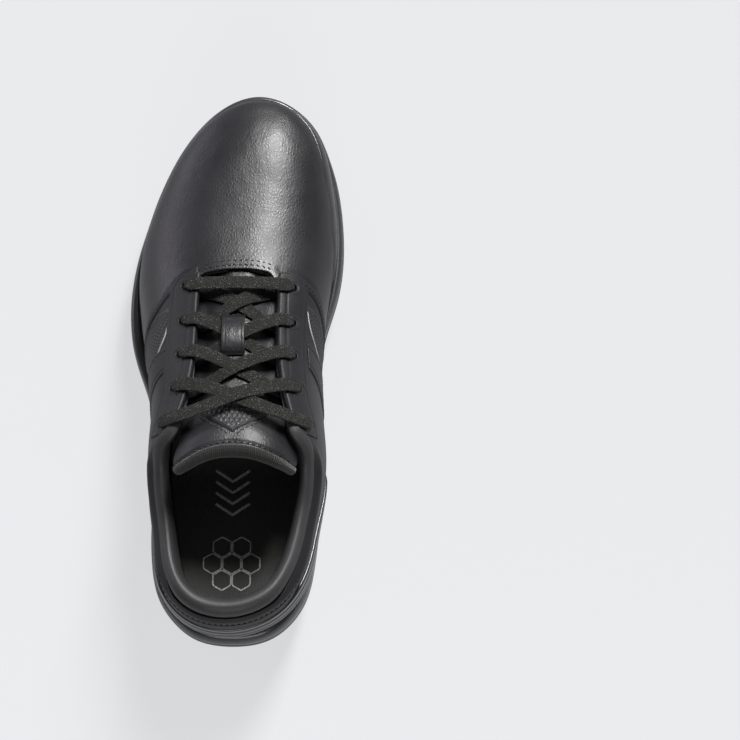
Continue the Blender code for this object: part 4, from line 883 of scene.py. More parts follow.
rings = []
heel_wrap = smooth((-ring_y - 95) / 32)
toe_draft = 0.6 * smooth((ring_y - 55) / 60) * smooth((ridge_x(ring_y) - ring_x) / 30 + 0.6)
for share in np.linspace(0, 0.965, 44):
    rings.append(sole_point(SIDEWALL(share) + sidewall_relief(share) + toe_draft * smooth((share - 0.45) / 0.3), share))
_, rim_y = upper.at(ring)
inner_th = theta_at_z(ring, rim_z(rim_y) + 1.0 + 3.4 * heel_wrap)
inner = surface(ring, inner_th, 0.45 + 1.5 * heel_wrap)
wide = sole_point(SIDEWALL(1.0) + toe_draft, 1.0)
for k, (f, z) in enumerate(((0.06, 0.35), (0.2, 0.75), (0.42, 0.9), (0.66, 0.7), (0.86, 0.15), (0.97, -0.6), (1.0, -1.6))):
    p = wide * (1 - f) + inner * f
    p[:, 2] = rim_z(wide[:, 1]) * (1 - f) + rim_z(inner[:, 1]) * f + 1.35 + z + heel_wrap * (0.7 + 2.7 * f)
    rings.append(p)
low_th = theta_at_z(ring, rim_z(rim_y) - 3.8)
low_in = base_point(ring, low_th) + base_normal(ring, low_th) * 0.5
low_in[:, 2] = rim_z(low_in[:, 1]) - 4.0
rings.append(low_in)
last = low_in.copy()
last[:, 2] = rim_z(last[:, 1]) - 6.2
rings.append(last)
pts = np.vstack(rings)
faces = []
for k in range(len(rings) - 1):
    for i in range(N_RING):
        j = (i + 1) % N_RING
        faces.append([k * N_RING + i, k * N_RING + j, (k + 1) * N_RING + j, (k + 1) * N_RING + i])
for k in (0, len(rings) - 1):
    for i in range(N_RING // 2):
        q = dict.fromkeys([i, i + 1, (N_RING - i - 1) % N_RING, (N_RING - i) % N_RING])
        faces.append([k * N_RING + v for v in q])
midsole = own(to_object("midsole_sculpted", pts, faces, ["midsole"]), "shoe", "midsole", "midsole")

# ---------------------------------------------------------------- outsole: the CAD solid shows, with finer lugs and spikes
SEATS = [float(min(bottom_z(y + k) for k in (-11, -5, 0, 5, 11))) - 0.3 for _, y in SPIKES]


def spike_detail(x, y, seat):
    """Disc with a rolled rim, a ribbed stud above it, six swept legs below it and a raised hub in the middle."""
    pts, faces = [], []

    def lathe_rows(rows, seg):
        idx = []
        for r, z in rows:
            if r < 1e-6:
                idx.append([len(pts)] * seg)
                pts.append((x, y, z))
            else:
                idx.append([len(pts) + k for k in range(seg)])
                pts.extend((x + r * math.cos(2 * math.pi * k / seg), y + r * math.sin(2 * math.pi * k / seg), z) for k in range(seg))
        for a, b in zip(idx, idx[1:]):
            for k in range(seg):
                j = (k + 1) % seg
                f = list(dict.fromkeys([a[k], a[j], b[j], b[k]]))
                if len(f) > 2:
                    faces.append(f)

    top, disc = seat - GAP, seat - 2.3
    lathe_rows(
        [(0, top + 5.6), (SPIKE_STUD_R - 0.7, top + 5.6), (SPIKE_STUD_R - 0.2, top + 5.2), (SPIKE_STUD_R, top + 4.7)]
        + [(SPIKE_STUD_R - (0.28 if k % 2 else 0.0), top + 4.5 - 0.45 * k) for k in range(1, 9)]
        + [(SPIKE_STUD_R, top), (SPIKE_R - 1.2, top), (SPIKE_R - 0.5, top - 0.15), (SPIKE_R - 0.1, top - 0.6), (SPIKE_R, top - 1.1), (SPIKE_R - 0.1, disc + 0.35), (SPIKE_R - 0.5, disc + 0.05), (SPIKE_R - 1.4, disc), (6.2, disc + 0.15), (5.6, disc + 0.6), (3.9, disc + 0.6), (3.6, disc + 0.1), (3.3, disc - 0.8), (2.9, disc - 1.05), (1.7, disc - 1.05), (1.4, disc - 0.8), (1.3, disc - 0.1), (0, disc - 0.05)],
        64,
    )
    tip = max(seat - 4.9, 0.0)
    for leg in range(6):
        start = 2 * math.pi * leg / 6 + 0.05
        cols = 15
        base_index = len(pts)
        section = [(-1.0, 0.55), (-0.98, 0.1), (-0.8, -0.55), (-0.45, -0.92), (0.0, -1.0), (0.45, -0.92), (0.8, -0.55), (0.98, 0.1), (1.0, 0.55)]
        for c in range(cols):
            s = c / (cols - 1)
            r = 4.9 + 4.5 * s
            a = start + 0.42 * s**1.4
            half = (0.45 + 1.05 * math.sin(math.pi * min(1.0, s * 0.86 + 0.14))) * (1.0 if s < 0.97 else 0.8)
            depth = (disc - tip) * (0.30 + 0.70 * math.sin(math.pi * min(1.0, 0.18 + 0.62 * s)) ** 1.2)
            depth = min(depth, disc - tip)
            if s > 0.93:
                depth *= 0.86
            for u, v in section:
                z = disc + 0.3 if v > 0.5 else disc - depth * (0.5 - 0.5 * v if v < 0.1 else 0.35)
                aa = a + u * half / r
                pts.append((x + r * math.cos(aa), y + r * math.sin(aa), z))
        m = len(section)
        for c in range(cols - 1):
            for k in range(m):
                j = (k + 1) % m
                faces.append([base_index + c * m + k, base_index + c * m + j, base_index + (c + 1) * m + j, base_index + (c + 1) * m + k])
        faces.append([base_index + k for k in range(m)])
        faces.append([base_index + (cols - 1) * m + k for k in range(m)][::-1])
    return pts, faces


PLACES = ["toe_medial", "toe_lateral", "ball_medial", "ball_lateral", "heel_medial", "heel_lateral"]
for k, ((x, y), seat) in enumerate(zip(SPIKES, SEATS), 1):
    p, f = spike_detail(x, y, seat)
    spike = to_object(f"spike_detailed_{k}", p, f, ["spike"])
    spike.data.set_sharp_from_angle(angle=math.radians(55))
    own(spike, "spike_" + PLACES[k - 1], "spike", f"soft_spike_{k}")

# moulded tread: bowed ribs under the waist and a rib round the edge
DOWN = np.array([0.0, 0.0, -1.0])
for k in range(9):
    u = np.linspace(-1, 1, 61)
    y0 = -66.0 + 8.6 * k
    lx = float(sole.inset(sole.t_at(-1, np.array([y0])), 9.0)[0][0])
    rx = float(sole.inset(sole.t_at(1, np.array([y0])), 9.0)[0][0])
    x = (lx + rx) / 2 + u * (rx - lx) / 2 * 0.92
    y = y0 + 6.5 * (1 - u**2)
    r = 1.5 * (0.35 + 0.65 * np.sqrt(1 - 0.97 * u**2))
    own(tube(f"tread_rib_{k}", np.stack([x, y, bottom_z(y) + 0.55 + 0 * x], -1), np.broadcast_to(DOWN, (len(x), 3)), r, "outsole", 12), "shoe", "outsole")
x, y = sole.inset(np.linspace(0.004, 0.996, 360), 6.2)
own(tube("tread_edge_rib", np.stack([x, y, bottom_z(y) + 0.35], -1), np.broadcast_to(DOWN, (len(x), 3)), 0.95, "outsole", 12), "shoe", "outsole")

# ---------------------------------------------------------------- vamp
FRONT = {
    -1: Stations([(0, 45.6), (0.2, 45.0), (0.28, 40.4), (0.41, 33.2), (0.512, 25.8), (0.637, 18.0), (0.745, 10.0), (0.88, 0), (1, -8)]),
    1: Stations([(0, 43.6), (0.2, 43.2), (0.277, 41.4), (0.35, 40.3), (0.455, 38.0), (0.53, 35.4), (0.667, 28.5), (0.8, 19.5), (1, 4)]),
}


def vamp_rear_y(b):
    """Rear edge of the vamp. b runs from -1 (lateral feather edge) over the ridge to 1 (medial)."""
    share = np.abs(b)
    y = np.where(b < 0, FRONT[-1](share), FRONT[1](share))
    throat = 43.6 - 2.6 * (share / 0.2) ** 2
    k = smooth((share - 0.17) / 0.07)
    return throat * (1 - k) + (y - 6.0) * k


def vamp_grid(na, nb, rear=vamp_rear_y, low=0.0, front_y=None):
    b = np.linspace(-1, 1, 2 * nb - 1)
    s = 1 - (1 - np.linspace(0, 1, na)) ** 1.8
    th = (1 - np.abs(b)) * (math.pi / 2 - low) + low
    th = np.where(np.abs(b) < 1e-9, math.pi / 2, th)
    r = rear(b)
    y = r[None, :] + (upper.toe - r[None, :]) * s[:, None]
    t = np.where(b[None, :] <= 0, upper.t_at(-1, y), upper.t_at(1, y))
    t[-1, :] = 0.5
    return t, np.broadcast_to(th, t.shape)


t, th = vamp_grid(130, 72)
base = surface(t, th, 0.0)
wave = 0.16 * rumple(base, 17.0) + 0.07 * rumple(base, 7.0, 3.1) + 0.035 * rumple(base, 3.0, 7.7)
edge_in = smooth((math.pi / 2 - th) / 0.03)
bb = np.abs(np.linspace(-1, 1, t.shape[1]))[None, :]
yy = upper.at(t)[1]
fr = np.where(np.linspace(-1, 1, t.shape[1])[None, :] < 0, FRONT[-1](bb), FRONT[1](bb))
wave = wave - 0.55 * bell(yy, fr + 1.0, 1.3) * smooth((bb - 0.2) / 0.05)
vamp = sheet("vamp_leather", surface(t, th, wave), surface(t, th, -1.3), "grain_leather")
own(vamp, "shoe", "grain_leather", "vamp")
# the sole's rand wraps up over the vamp's lower edge on the medial side
q = np.linspace(float(upper.t_at(1, 34.0)), 0.508, 320)[:, None]
_, y = upper.at(q)
b = np.linspace(0, 1, 34)[None, :]
tall = 1.8 + 9.0 * smooth((y - 34) / 40) * (1 - 0.62 * smooth((y - 104) / 42))
low = theta_at_z(q, rim_z(y) + 0.4)
high = theta_at_z(q, rim_z(y) + tall)
th = low + (high - low) * b
reach = smooth((y - 34) / 16) * smooth(np.abs(q - 0.508) / 0.035)
out_d = -0.5 + reach * (1.15 + 1.15 * np.sin(math.pi * b) ** 0.8 - 0.25 * b)
rand = sheet("sole_rand_medial", surface(np.broadcast_to(q, th.shape), th, out_d), surface(np.broadcast_to(q, th.shape), th, -0.9), "midsole", rim=6)
own(rand, "shoe", "midsole")
t, th = vamp_grid(46, 26, low=0.05)
own(sheet("vamp_inner_lining", surface(t, th, -2.8), surface(t, th, -3.6), "lining", rim=2), "shoe", "lining", "vamp_lining")

# gathered stitches where the vamp meets the throat
b = np.linspace(-0.185, 0.185, 160)
th = (1 - np.abs(b)) * math.pi / 2
y = vamp_rear_y(b) + 1.7
t = np.where(b <= 0, upper.t_at(-1, y), upper.t_at(1, y))
line = surface(t, th, 0.0)
own(stitches("throat_stitches", line, base_normal(t, th), 1.9, 1.0, 0.33, "thread", 0.05, lean=0.55), "shoe", "lace")
y = y + 2.6
t = np.where(b <= 0, upper.t_at(-1, y), upper.t_at(1, y))
own(stitches("throat_stitches_2", surface(t, th, 0.0), base_normal(t, th), 1.7, 1.2, 0.26, "thread", 0.02), "shoe", "lace")

# ---------------------------------------------------------------- quarters
QUARTER_D = 0.9


def front_t(side, b, top, shift):
    y = np.full(np.shape(b), 20.0)
    for _ in range(14):
        th = b * top(upper.t_at(side, y))
        y = 0.5 * y + 0.5 * (FRONT[side](1 - th / (math.pi / 2)) + shift)
    return upper.t_at(side, y)


def collar_seam(y):
    """How far below the top line the collar roll is sewn to the outside."""
    return 2.6 + 5.4 * smooth((-108 - y) / 26)


def inward(y):
    """How far the top line of the collar leans in over the foot."""
    return 3.5 * smooth((-51 - y) / 16) * (1 - 0.45 * smooth((-118 - y) / 20))


def quarter_top(t):
    """Upper edge of the visible quarter leather: under the folded facing in front, under the collar roll behind."""
    _, y = upper.at(t)
    front = theta_at_half(t, throat_half(np.maximum(y, -53)) + 2.2)
    back = theta_at_z(t, collar_z(np.minimum(y, -50)) - collar_seam(y) + 1.2)
    k = np.clip((y + 50) / 6, 0, 1)
    return front * k + back * (1 - k)


def spaced(n, power=1.0):
    return np.linspace(0, 1, n) ** power


def quarter_arrays(side, na=210, nb=84, shift=0.0):
    """Rows follow an evened-out top line, and only the highest rows meet the real one."""
    b = np.linspace(0, 1, nb) ** 1.15
    tf = front_t(side, b, quarter_top, shift)
    end = 0.0 if side < 0 else 1.0
    a = np.linspace(0, 1, na)
    t = tf[None, :] + (end - tf[None, :]) * a[:, None]
    line = np.linspace(0, 0.5, 700) if side < 0 else np.linspace(0.5, 1, 700)
    even = quarter_top(line)
    reach = 40
    weights = np.exp(-((np.arange(-reach, reach + 1) / 18.0) ** 2))
    even = np.convolve(np.pad(even, reach, mode="edge"), weights / weights.sum(), mode="valid")
    even_t = np.interp(t, line, even)
    return t, even_t * b[None, :] + (quarter_top(t) - even_t) * b[None, :] ** 9


EYELET_XY = {side: [(float(ridge_x(ey)) + side * half, ey) for ey, half in EYELETS] for side in (-1, 1)}


def eyelet_items(side, r, half=6.0):
    items = []
    for x, y in EYELET_XY[side]:
        c = over(x, y, -1.0)
        n = over(x, y, 1.0) - c
        items.append((tuple(c), tuple(n), r, half))
    return items


# silver-edged window behind the quarter's front seam: (share down, y front, height front, y rear, height rear), heights over the rim
WINDOW = {
    -1: [(0, 21.6, 42.6, 21.0, 42.9), (0.1, 17.6, 38.2, 10.5, 45.6), (0.25, 12.6, 33.0, 0.5, 45.0), (0.42, 7.6, 27.0, -7.5, 40.5), (0.6, 2.6, 20.0, -12.5, 31.5), (0.8, -3.2, 12.0, -17.0, 19.5), (1, -9.0, 5.2, -21.0, 6.0)],
    1: [(0, 25.2, 36.8, 24.6, 37.0), (0.1, 22.4, 33.0, 14.5, 37.2), (0.25, 18.4, 28.4, 6.5, 34.8), (0.42, 13.6, 23.2, 0.5, 30.5), (0.6, 8.4, 17.4, -4.8, 23.8), (0.8, 2.8, 10.8, -10.0, 15.2), (1, -3.0, 5.0, -14.5, 5.6)],
}


def window_grid(side, na, nb):
    table = WINDOW[side]
    v = np.linspace(0, 1, na)
    col = [Stations([(r[0], r[k]) for r in table])(v) for k in (1, 2, 3, 4)]
    w = np.linspace(0, 1, nb)
    y = col[0][:, None] * (1 - w) + col[2][:, None] * w
    zr = col[1][:, None] * (1 - w) + col[3][:, None] * w
    t = upper.t_at(side, y)
    th = theta_at_z(t, rim_z(y) + zr)
    return t, th, y, zr


for side, label in SIDES:
    t, th = quarter_arrays(side)
    p0 = base_point(t, th)
    run = np.concatenate([np.zeros((1, p0.shape[1])), np.cumsum(np.linalg.norm(np.diff(p0, axis=0), axis=2), axis=0)], 0)
    d = QUARTER_D + 0.12 * rumple(p0, 15.0, 2.0 * side) + 0.03 * rumple(p0, 4.0, 5.0)
    upfade = smooth((th - 0.05) / 0.1)
    d = d - 0.62 * bell(run, 4.8, 0.62) - 0.22 * bell(run, 1.7, 0.45)
    d = d + 0.3 * bell(run, 3.2, 0.9)
    yq = upper.at(t)[1]
    below = collar_z(np.minimum(yq, -50)) - p0[..., 2]
    d = d + 0.8 * smooth((-52 - yq) / 10) * bell(below, 9.5, 4.0)
    d = d - inward(yq) * smooth((11 - below) / 10) * smooth((-49 - yq) / 4)
    quarter = sheet(f"quarter_leather_{label}", surface(t, th, d), surface(t, th, np.minimum(-0.35, d - 0.9)), "smooth_leather")
    cut(quarter, eyelet_items(side, EYELET_R - 0.1))
    own(quarter, "shoe", "smooth_leather", f"quarter_{label}")
    # row of stitches along the front seam
    row = 3
    b = np.linspace(0.16, 0.985, 200)
    for k, off in ((1, 1.7),):
        tf = front_t(side, b, quarter_top, 0.0)
        th_f = quarter_top(tf) * b
        p = base_point(tf, th_f)
        # step back from the edge by off mm along the surface
        tb = tf + side * off / 330.0
        thb = quarter_top(tb) * b
        q = base_point(tb, thb)
        g = off / np.maximum(np.linalg.norm(q - p, axis=1), 1e-6)
        tb = tf + (tb - tf) * g
        thb = quarter_top(tb) * b
        own(stitches(f"front_seam_stitches_{label}", surface(tb, thb, QUARTER_D - 0.15), base_normal(tb, thb), 1.5, 0.95, 0.2, "thread", 0.12), "shoe", "lace")

    # inner lining of the quarter
    cols = np.linspace(0, 1, 60)
    b = np.linspace(0, 1, 34) ** 1.3
    tf = front_t(side, b, theta_top, -1.0)
    tr_ = float(upper.t_at(side, -50.2))
    t = tf[None, :] + (tr_ - tf[None, :]) * cols[:, None]
    th = np.maximum(0.05, theta_top(t) * b[None, :] * 0.985)
    lin = sheet(f"quarter_inner_lining_{label}", surface(t, th, -2.7), surface(t, th, -3.5), "lining", rim=3)
    cut(lin, eyelet_items(side, EYELET_R + 0.1))
    own(lin, "shoe", "lining", f"quarter_lining_{label}")

    # eyestay with its edge folded over towards the throat
    na, nb = 150, 40
    a, b = np.meshgrid(np.linspace(0, 1, na), np.linspace(0, 1, nb), indexing="ij")
    y0, y1 = (40.2, -49.5)
    y = y0 + (y1 - y0) * a
    nose = 5.5 * (1 - a * (y0 - y1) / 9.0).clip(0, 1) ** 2
    w = 14.2 + 0.8 * np.sin(math.pi * a) + 3.0 * smooth((a - 0.72) / 0.28) - nose
    off = throat_half(y) + 1.15 + (w - 1.15) * (1 - b)
    q = upper.t_at(side, y)
    th = theta_at_half(q, off)
    dist = (off - throat_half(y) - 1.15)
    # on the steep flank the facing keeps its width along the surface
    drop_th = np.linspace(0, 1, 120)
    start = th[:, -1]
    way = start[:, None] * (1 - drop_th[None, :])
    leg = base_point(np.broadcast_to(q[:, :1], way.shape), way)
    leg = np.concatenate([np.zeros((na, 1)), np.cumsum(np.linalg.norm(np.diff(leg, axis=1), axis=2), axis=1)], 1)
    for i in range(na):
        flank = np.interp(1.22 * dist[i], leg[i], way[i])
        th[i] = np.maximum(th[i], flank)
    p0 = base_point(q, th)
    d = 1.55 + 0.10 * rumple(p0, 9.0, 4.0) + 0.03 * rumple(p0, 3.0, 9.0)
    lead = smooth(a * 90 / 4.0 - 0.3)
    d = d - lead * (0.22 * bell(dist, 3.0, 0.5) - 0.06 * bell(dist, 1.4, 1.0) + 0.24 * bell(dist, w - 3.0, 0.4))
    for ex, ey in EYELET_XY[side]:
        rr = np.hypot(p0[..., 0] - ex, p0[..., 1] - ey)
        d = d - 0.35 * bell(rr, 0, 4.2) + 0.28 * bell(rr, 3.4, 0.7)
    din = 0.72 - 3.1 * smooth((b - 0.86) / 0.09)
    stay = sheet(f"eyestay_leather_{label}", surface(q, th, d), surface(q, th, din), "smooth_leather", rim=8, bulge=0.75)
    cut(stay, eyelet_items(side, EYELET_R - 0.1))
    own(stay, "shoe", "smooth_leather", f"eyestay_{label}")
    for k, gap_in in enumerate((3.0,), 1):
        yy = np.linspace(38.0, -46.5, 180)
        qq = upper.t_at(side, yy)
        tt = theta_at_half(qq, throat_half(yy) + 1.15 + gap_in)
        own(stitches(f"facing_stitches_{label}", surface(qq, tt, 1.15), base_normal(qq, tt), 1.7, 1.0, 0.2, "thread", 0.1), "shoe", "lace")

    # rolled rims of the punched eyelets
    rims, rf = [], []
    for ex, ey in EYELET_XY[side]:
        c = over(ex, ey, 1.42)
        n = unit(over(ex, ey, 2.0) - over(ex, ey, 0.0))
        u = unit(np.cross(n, np.array([0.0, 1.0, 0.0])))
        v = np.cross(n, u)
        k0 = len(rims)
        for i in range(32):
            g = 2 * math.pi * i / 32
            e = u * math.cos(g) + v * math.sin(g)
            for j in range(8):
                h = 2 * math.pi * j / 8
                rims.append(c + e * (2.5 + 0.3 * math.cos(h)) + n * 0.24 * math.sin(h))
        for i in range(32):
            for j in range(8):
                i2, j2 = (i + 1) % 32, (j + 1) % 8
                rf.append([k0 + i * 8 + j, k0 + i2 * 8 + j, k0 + i2 * 8 + j2, k0 + i * 8 + j2])
    own(to_object(f"eyelet_rims_{label}", rims, rf, ["smooth_leather"]), "shoe", "smooth_leather")

    # dimpled window
    t, th, y, zr = window_grid(side, 150, 96)
    p = base_point(t, th)
    # dimples on a slanted lattice measured over the surface
    along = np.concatenate([np.zeros((1, p.shape[1])), np.cumsum(np.linalg.norm(np.diff(p, axis=0), axis=2), axis=0)], 0)
    across = np.concatenate([np.zeros((p.shape[0], 1)), np.cumsum(np.linalg.norm(np.diff(p, axis=1), axis=2), axis=1)], 1)
    pitch = 2.1
    rowk = np.round(along / (pitch * 0.86))
    shifted = across + (rowk % 2) * pitch / 2
    du = shifted - np.round(shifted / pitch) * pitch
    dv = along - rowk * pitch * 0.86
    inside = smooth((across - 0.9) / 0.5) * smooth((across[:, -1:] - across - 0.9) / 0.5) * smooth((along - 2) / 1) * smooth((along[-1:, :] - along - 1.0) / 0.6)
    d = 1.02 - 0.85 * inside * smooth(1.25 - np.hypot(du, dv) / 0.72)
    own(sheet(f"window_dimpled_{label}", surface(t, th, d), surface(t, th, -0.1), "window", rim=4), "shoe", "gloss_tpu")
    # piping on the window's rear and front edges
    for nm, col, r in (("rear", -1, 0.38), ("front", 0, 0.2)):
        pt = surface(t[:, col], th[:, col], 1.05)
        nn = base_normal(t[:, col], th[:, col])
        pp, _ = path_through(np.hstack([pt[::3], nn[::3]]), 1.0)
        taper = np.clip(np.minimum(np.arange(len(pp)), len(pp) - 1 - np.arange(len(pp))) / 7.0, 0.25, 1) ** 0.6
        own(tube(f"window_piping_{nm}_{label}", pp[:, :3], pp[:, 3:], r * taper, "piping" if nm == "rear" else "thread_light", 10), "shoe", "gloss_tpu")

    # plain band from the eyestay down to the sole
    a, b = np.meshgrid(np.linspace(0, 1, 44), np.linspace(0, 1, 70), indexing="ij")
    yb = (-1.5 - 13.5 * a) * b + (-19 - 19 * a) * (1 - b) + 3.0 * np.sin(math.pi * b)
    if side > 0:
        yb = yb + 4
    q = upper.t_at(side, yb)
    low = theta_at_z(q, rim_z(yb) + 2.8)
    high = theta_at_half(q, throat_half(yb) + 14.6)
    th = low + (high - low) * b
    p = base_point(q, th)
    aw = np.minimum(a, 1 - a) * 15
    d = 1.42 - 0.28 * bell(aw, 1.9, 0.35) + 0.22 * np.sin(math.pi * a)
    own(sheet(f"side_band_{label}", surface(q, th, d), surface(q, th, 0.4), "smooth_leather", rim=6), "shoe", "smooth_leather", f"side_panel_{label}")
    rear = surface(q[-1], th[-1], 1.0)
    pp, _ = path_through(np.hstack([rear[::4], base_normal(q[-1], th[-1])[::4]]), 1.0)
    own(tube(f"band_piping_{label}", pp[:, :3], pp[:, 3:], 0.32, "piping", 10), "shoe", "gloss_tpu")
    for i, k in ((5, "front"), (38, "rear")):
        own(stitches(f"band_stitches_{k}_{label}", surface(q[i], th[i], 1.2), base_normal(q[i], th[i]), 1.8, 1.0, 0.2, "thread", 0.1), "shoe", "lace")

# ---------------------------------------------------------------- heel
def heel_sweep(y_front, n):
    """t round the heel from the lateral to the medial side, as one falling run."""
    return np.linspace(float(upper.t_at(-1, y_front)), float(upper.t_at(1, y_front)) - 1.0, n)


q = heel_sweep(-56, 260)[:, None]
b = np.linspace(0, 1, 60)[None, :]
_, y = upper.at(q)
rise = np.clip((-y - 56) / 66, 0, 1)
low = theta_at_z(q, rim_z(y) + 2.4)
high = theta_at_z(q, rim_z(y) + 2.8 + 24.4 * rise**0.85)
th = low + (high - low) * b
ends = smooth((-y - 56) / 9)
body_d = 0.75 + ends * (2.0 - 0.45 * b**2)
for c, wdt, amp in ((0.36, 0.075, 1.15), (0.70, 0.065, 0.95)):
    swing = c + 0.08 * np.cos(q * 2 * math.pi * 2.0)
    body_d = body_d - amp * ends * smooth((-y - 66) / 25) * bell(b, swing, wdt)
heel_cup = sheet("heel_stabiliser_sculpted", surface(np.broadcast_to(q, th.shape), th, body_d), surface(np.broadcast_to(q, th.shape), th, 0.1), "gloss_tpu", rim=6)
own(heel_cup, "shoe", "gloss_tpu", "heel_stabiliser")

q = heel_sweep(-117, 130)[:, None]
b = np.linspace(0, 1, 70)[None, :]
_, y = upper.at(q)
spread_y = smooth((-y - 116) / 17)
z_high = collar_z(np.minimum(y, -50)) - collar_seam(y) - 4.0
high = theta_at_z(q, z_high)
low = theta_at_z(q, 60.5 * spread_y + (z_high - 1.0) * (1 - spread_y))
th = low + (high - low) * b
d = 0.9 + 0.6 * spread_y + 0.12 * np.sin(math.pi * b) - 0.35 * spread_y * bell(b, 0.82, 0.03) + 0 * q
own(sheet("backstay_leather", surface(np.broadcast_to(q, th.shape), th, d), surface(np.broadcast_to(q, th.shape), th, 0.3), "smooth_leather", rim=6), "shoe", "smooth_leather", "backstay")
for k, sh in (("upper", 0.9),):
    own(stitches("backstay_stitches", surface(q[:, 0], (low + (high - low) * sh)[:, 0], 1.5), base_normal(q[:, 0], (low + (high - low) * sh)[:, 0]), 1.9, 1.0, 0.22, "thread", 0.1), "shoe", "lace")

# ---------------------------------------------------------------- collar: one padded roll, and the lining below it
def pad_at(z, y):
    up = np.clip((z - (collar_z(np.minimum(y, -50)) - 34)) / 32.5, 0, 1)
    front = 0.3 + 0.7 * np.clip((-51 - y) / 15, 0, 1)
    return 0.8 + 5.4 * front * np.sin(up * math.pi * 0.62) ** 1.2


q = heel_sweep(-40.5, 420)
_, y = upper.at(q)
E = surface(q, theta_top(q), -inward(y))
# even out the path where the top line turns down from the throat to the collar
for _ in range(14):
    E[1:-1] = 0.25 * E[:-2] + 0.5 * E[1:-1] + 0.25 * E[2:]
N = base_normal(q, theta_top(q))
T = unit(np.gradient(E, axis=0))
N = unit(N - (N * T).sum(1, keepdims=True) * T)
V = unit(np.cross(N, T))
V = np.where((V[:, 2:3] < 0), -V, V)
for _ in range(10):
    N[1:-1] = unit(0.25 * N[:-2] + 0.5 * N[1:-1] + 0.25 * N[2:])
    V[1:-1] = unit(0.25 * V[:-2] + 0.5 * V[1:-1] + 0.25 * V[2:])
ROLL = [(-8.2, 0.55), (-6.6, 1.7), (-4.0, 2.55), (-1.2, 2.6), (1.2, 1.7), (2.8, -0.3), (3.2, -2.8), (2.3, -5.6), (-0.2, -8.2), (-4.2, -9.9), (-9.0, -10.5), (-14.0, -10.2), (-18.5, -8.7), (-21.5, -6.2), (-19.0, -3.6), (-12.0, -2.2), (-8.6, -0.6)]
ctrl = np.array(ROLL)
loop = np.vstack([ctrl, ctrl[:1]])
s = np.concatenate([[0], np.cumsum(np.linalg.norm(np.diff(loop, axis=0), axis=1))])
wrap = np.vstack([ctrl[-3:], loop, ctrl[1:4]])
sw = np.concatenate([s[-4:-1] - s[-1], s, s[1:4] + s[-1]])
NR = 72
qs = np.linspace(0, s[-1], NR, endpoint=False)
prof = np.stack([Stations(list(zip(sw, wrap[:, k])))(qs) for k in (0, 1)], -1)
dist = np.concatenate([[0], np.cumsum(np.linalg.norm(np.diff(E, axis=0), axis=1))])
end_gap = np.minimum(dist, dist[-1] - dist)
nose = np.sqrt(np.clip(1 - (1 - np.clip(end_gap / 4.5, 0, 1)) ** 2, 0, 1))
nose = np.maximum(nose, 0.02)
grow = smooth((-44 - y) / 20)
centre = np.stack([-1.6 - 2.5 * grow, -1.6 - 2.3 * grow], -1)
outer = smooth((prof[None, :, 1] + 2.4) / 2.6) * (prof[None, :, 0] < 0)
seam_k = (collar_seam(y) / 8.0)[:, None]
vs = prof[None, :, 0] * (1 - outer + outer * seam_k)
vs = np.where(prof[None, :, 1] < -2.4, np.where(vs < -6, -6 + (vs + 6) * (0.30 + 0.70 * grow[:, None]), vs), vs)
ns = np.where(prof[None, :, 1] < 0, prof[None, :, 1] * (0.42 + 0.52 * grow[:, None]) * (1 - inward(y) / 9.8)[:, None], prof[None, :, 1] * 0.85)
heel_pad = 1.3 * (bell(y, -112, 16))[:, None] * bell(prof[None, :, 0], -9, 7) * (prof[None, :, 1] < -4)
ns = ns - heel_pad
vs = centre[:, :1] + (vs - centre[:, :1]) * nose[:, None]
ns = centre[:, 1:] + (ns - centre[:, 1:]) * nose[:, None]
roll = E[:, None, :] + V[:, None, :] * vs[..., None] + N[:, None, :] * ns[..., None]
roll = roll + N[:, None, :] * (0.22 * rumple(roll, 13.0, 1.0) + 0.06 * rumple(roll, 4.5, 6.0))[..., None]
nq = len(q)
faces = []
for i in range(nq - 1):
    for k in range(NR):
        j = (k + 1) % NR
        faces.append([i * NR + k, i * NR + j, (i + 1) * NR + j, (i + 1) * NR + k])
faces.append(list(range(NR))[::-1])
faces.append([(nq - 1) * NR + k for k in range(NR)])
collar = to_object("collar_roll", roll.reshape(-1, 3), faces, ["collar_leather"])
own(collar, "shoe", "collar_leather", "collar_foam")
# seam line and thin roll along the collar's outer edge
seam = E - V * (collar_seam(y) + 0.3)[:, None] + N * 1.25
own(tube("collar_edge_roll", seam[6:-6:2], N[6:-6:2], 0.7, "collar_leather", 12, 0.8), "shoe", "collar_leather")
seam2 = E - V * (collar_seam(y) + 2.9)[:, None] + N * 1.35
sel = y < -58
own(stitches("collar_stitches", seam2[sel], N[sel], 2.2, 1.0, 0.25, "thread", 0.12), "shoe", "lace")

# lining from the roll down to the foot bed
q = heel_sweep(-50.5, 200)[:, None]
_, y = upper.at(q)
b = np.linspace(0, 1, 44)[None, :]
z = (rim_z(y) - 3.2) * (1 - b) + (collar_z(np.minimum(y, -50)) - 12) * b
th = theta_at_z(q, z)
pad = pad_at(z, y)
qq = np.broadcast_to(q, th.shape)
own(sheet("collar_inner_lining", surface(qq, th, -3.1 - pad), surface(qq, th, -3.95 - pad), "lining", rim=3), "shoe", "lining", "collar_lining")

# heel counter: the stiffener between the leather and the lining
q = heel_sweep(-72, 170)[:, None]
_, y = upper.at(q)
low, high = theta_at_z(q, rim_z(y) - 3.4), theta_at_z(q, 57 + 6 * np.clip((-y - 90) / 50, 0, 1))
th = low + (high - low) * np.linspace(0, 1, 26)[None, :]
qq = np.broadcast_to(q, th.shape)
own(sheet("heel_counter_board", surface(qq, th, -1.85), surface(qq, th, -2.45), "board", rim=3), "shoe", "board", "heel_counter")

# ---------------------------------------------------------------- tongue: one padded piece
HINGE_Y = -46.0


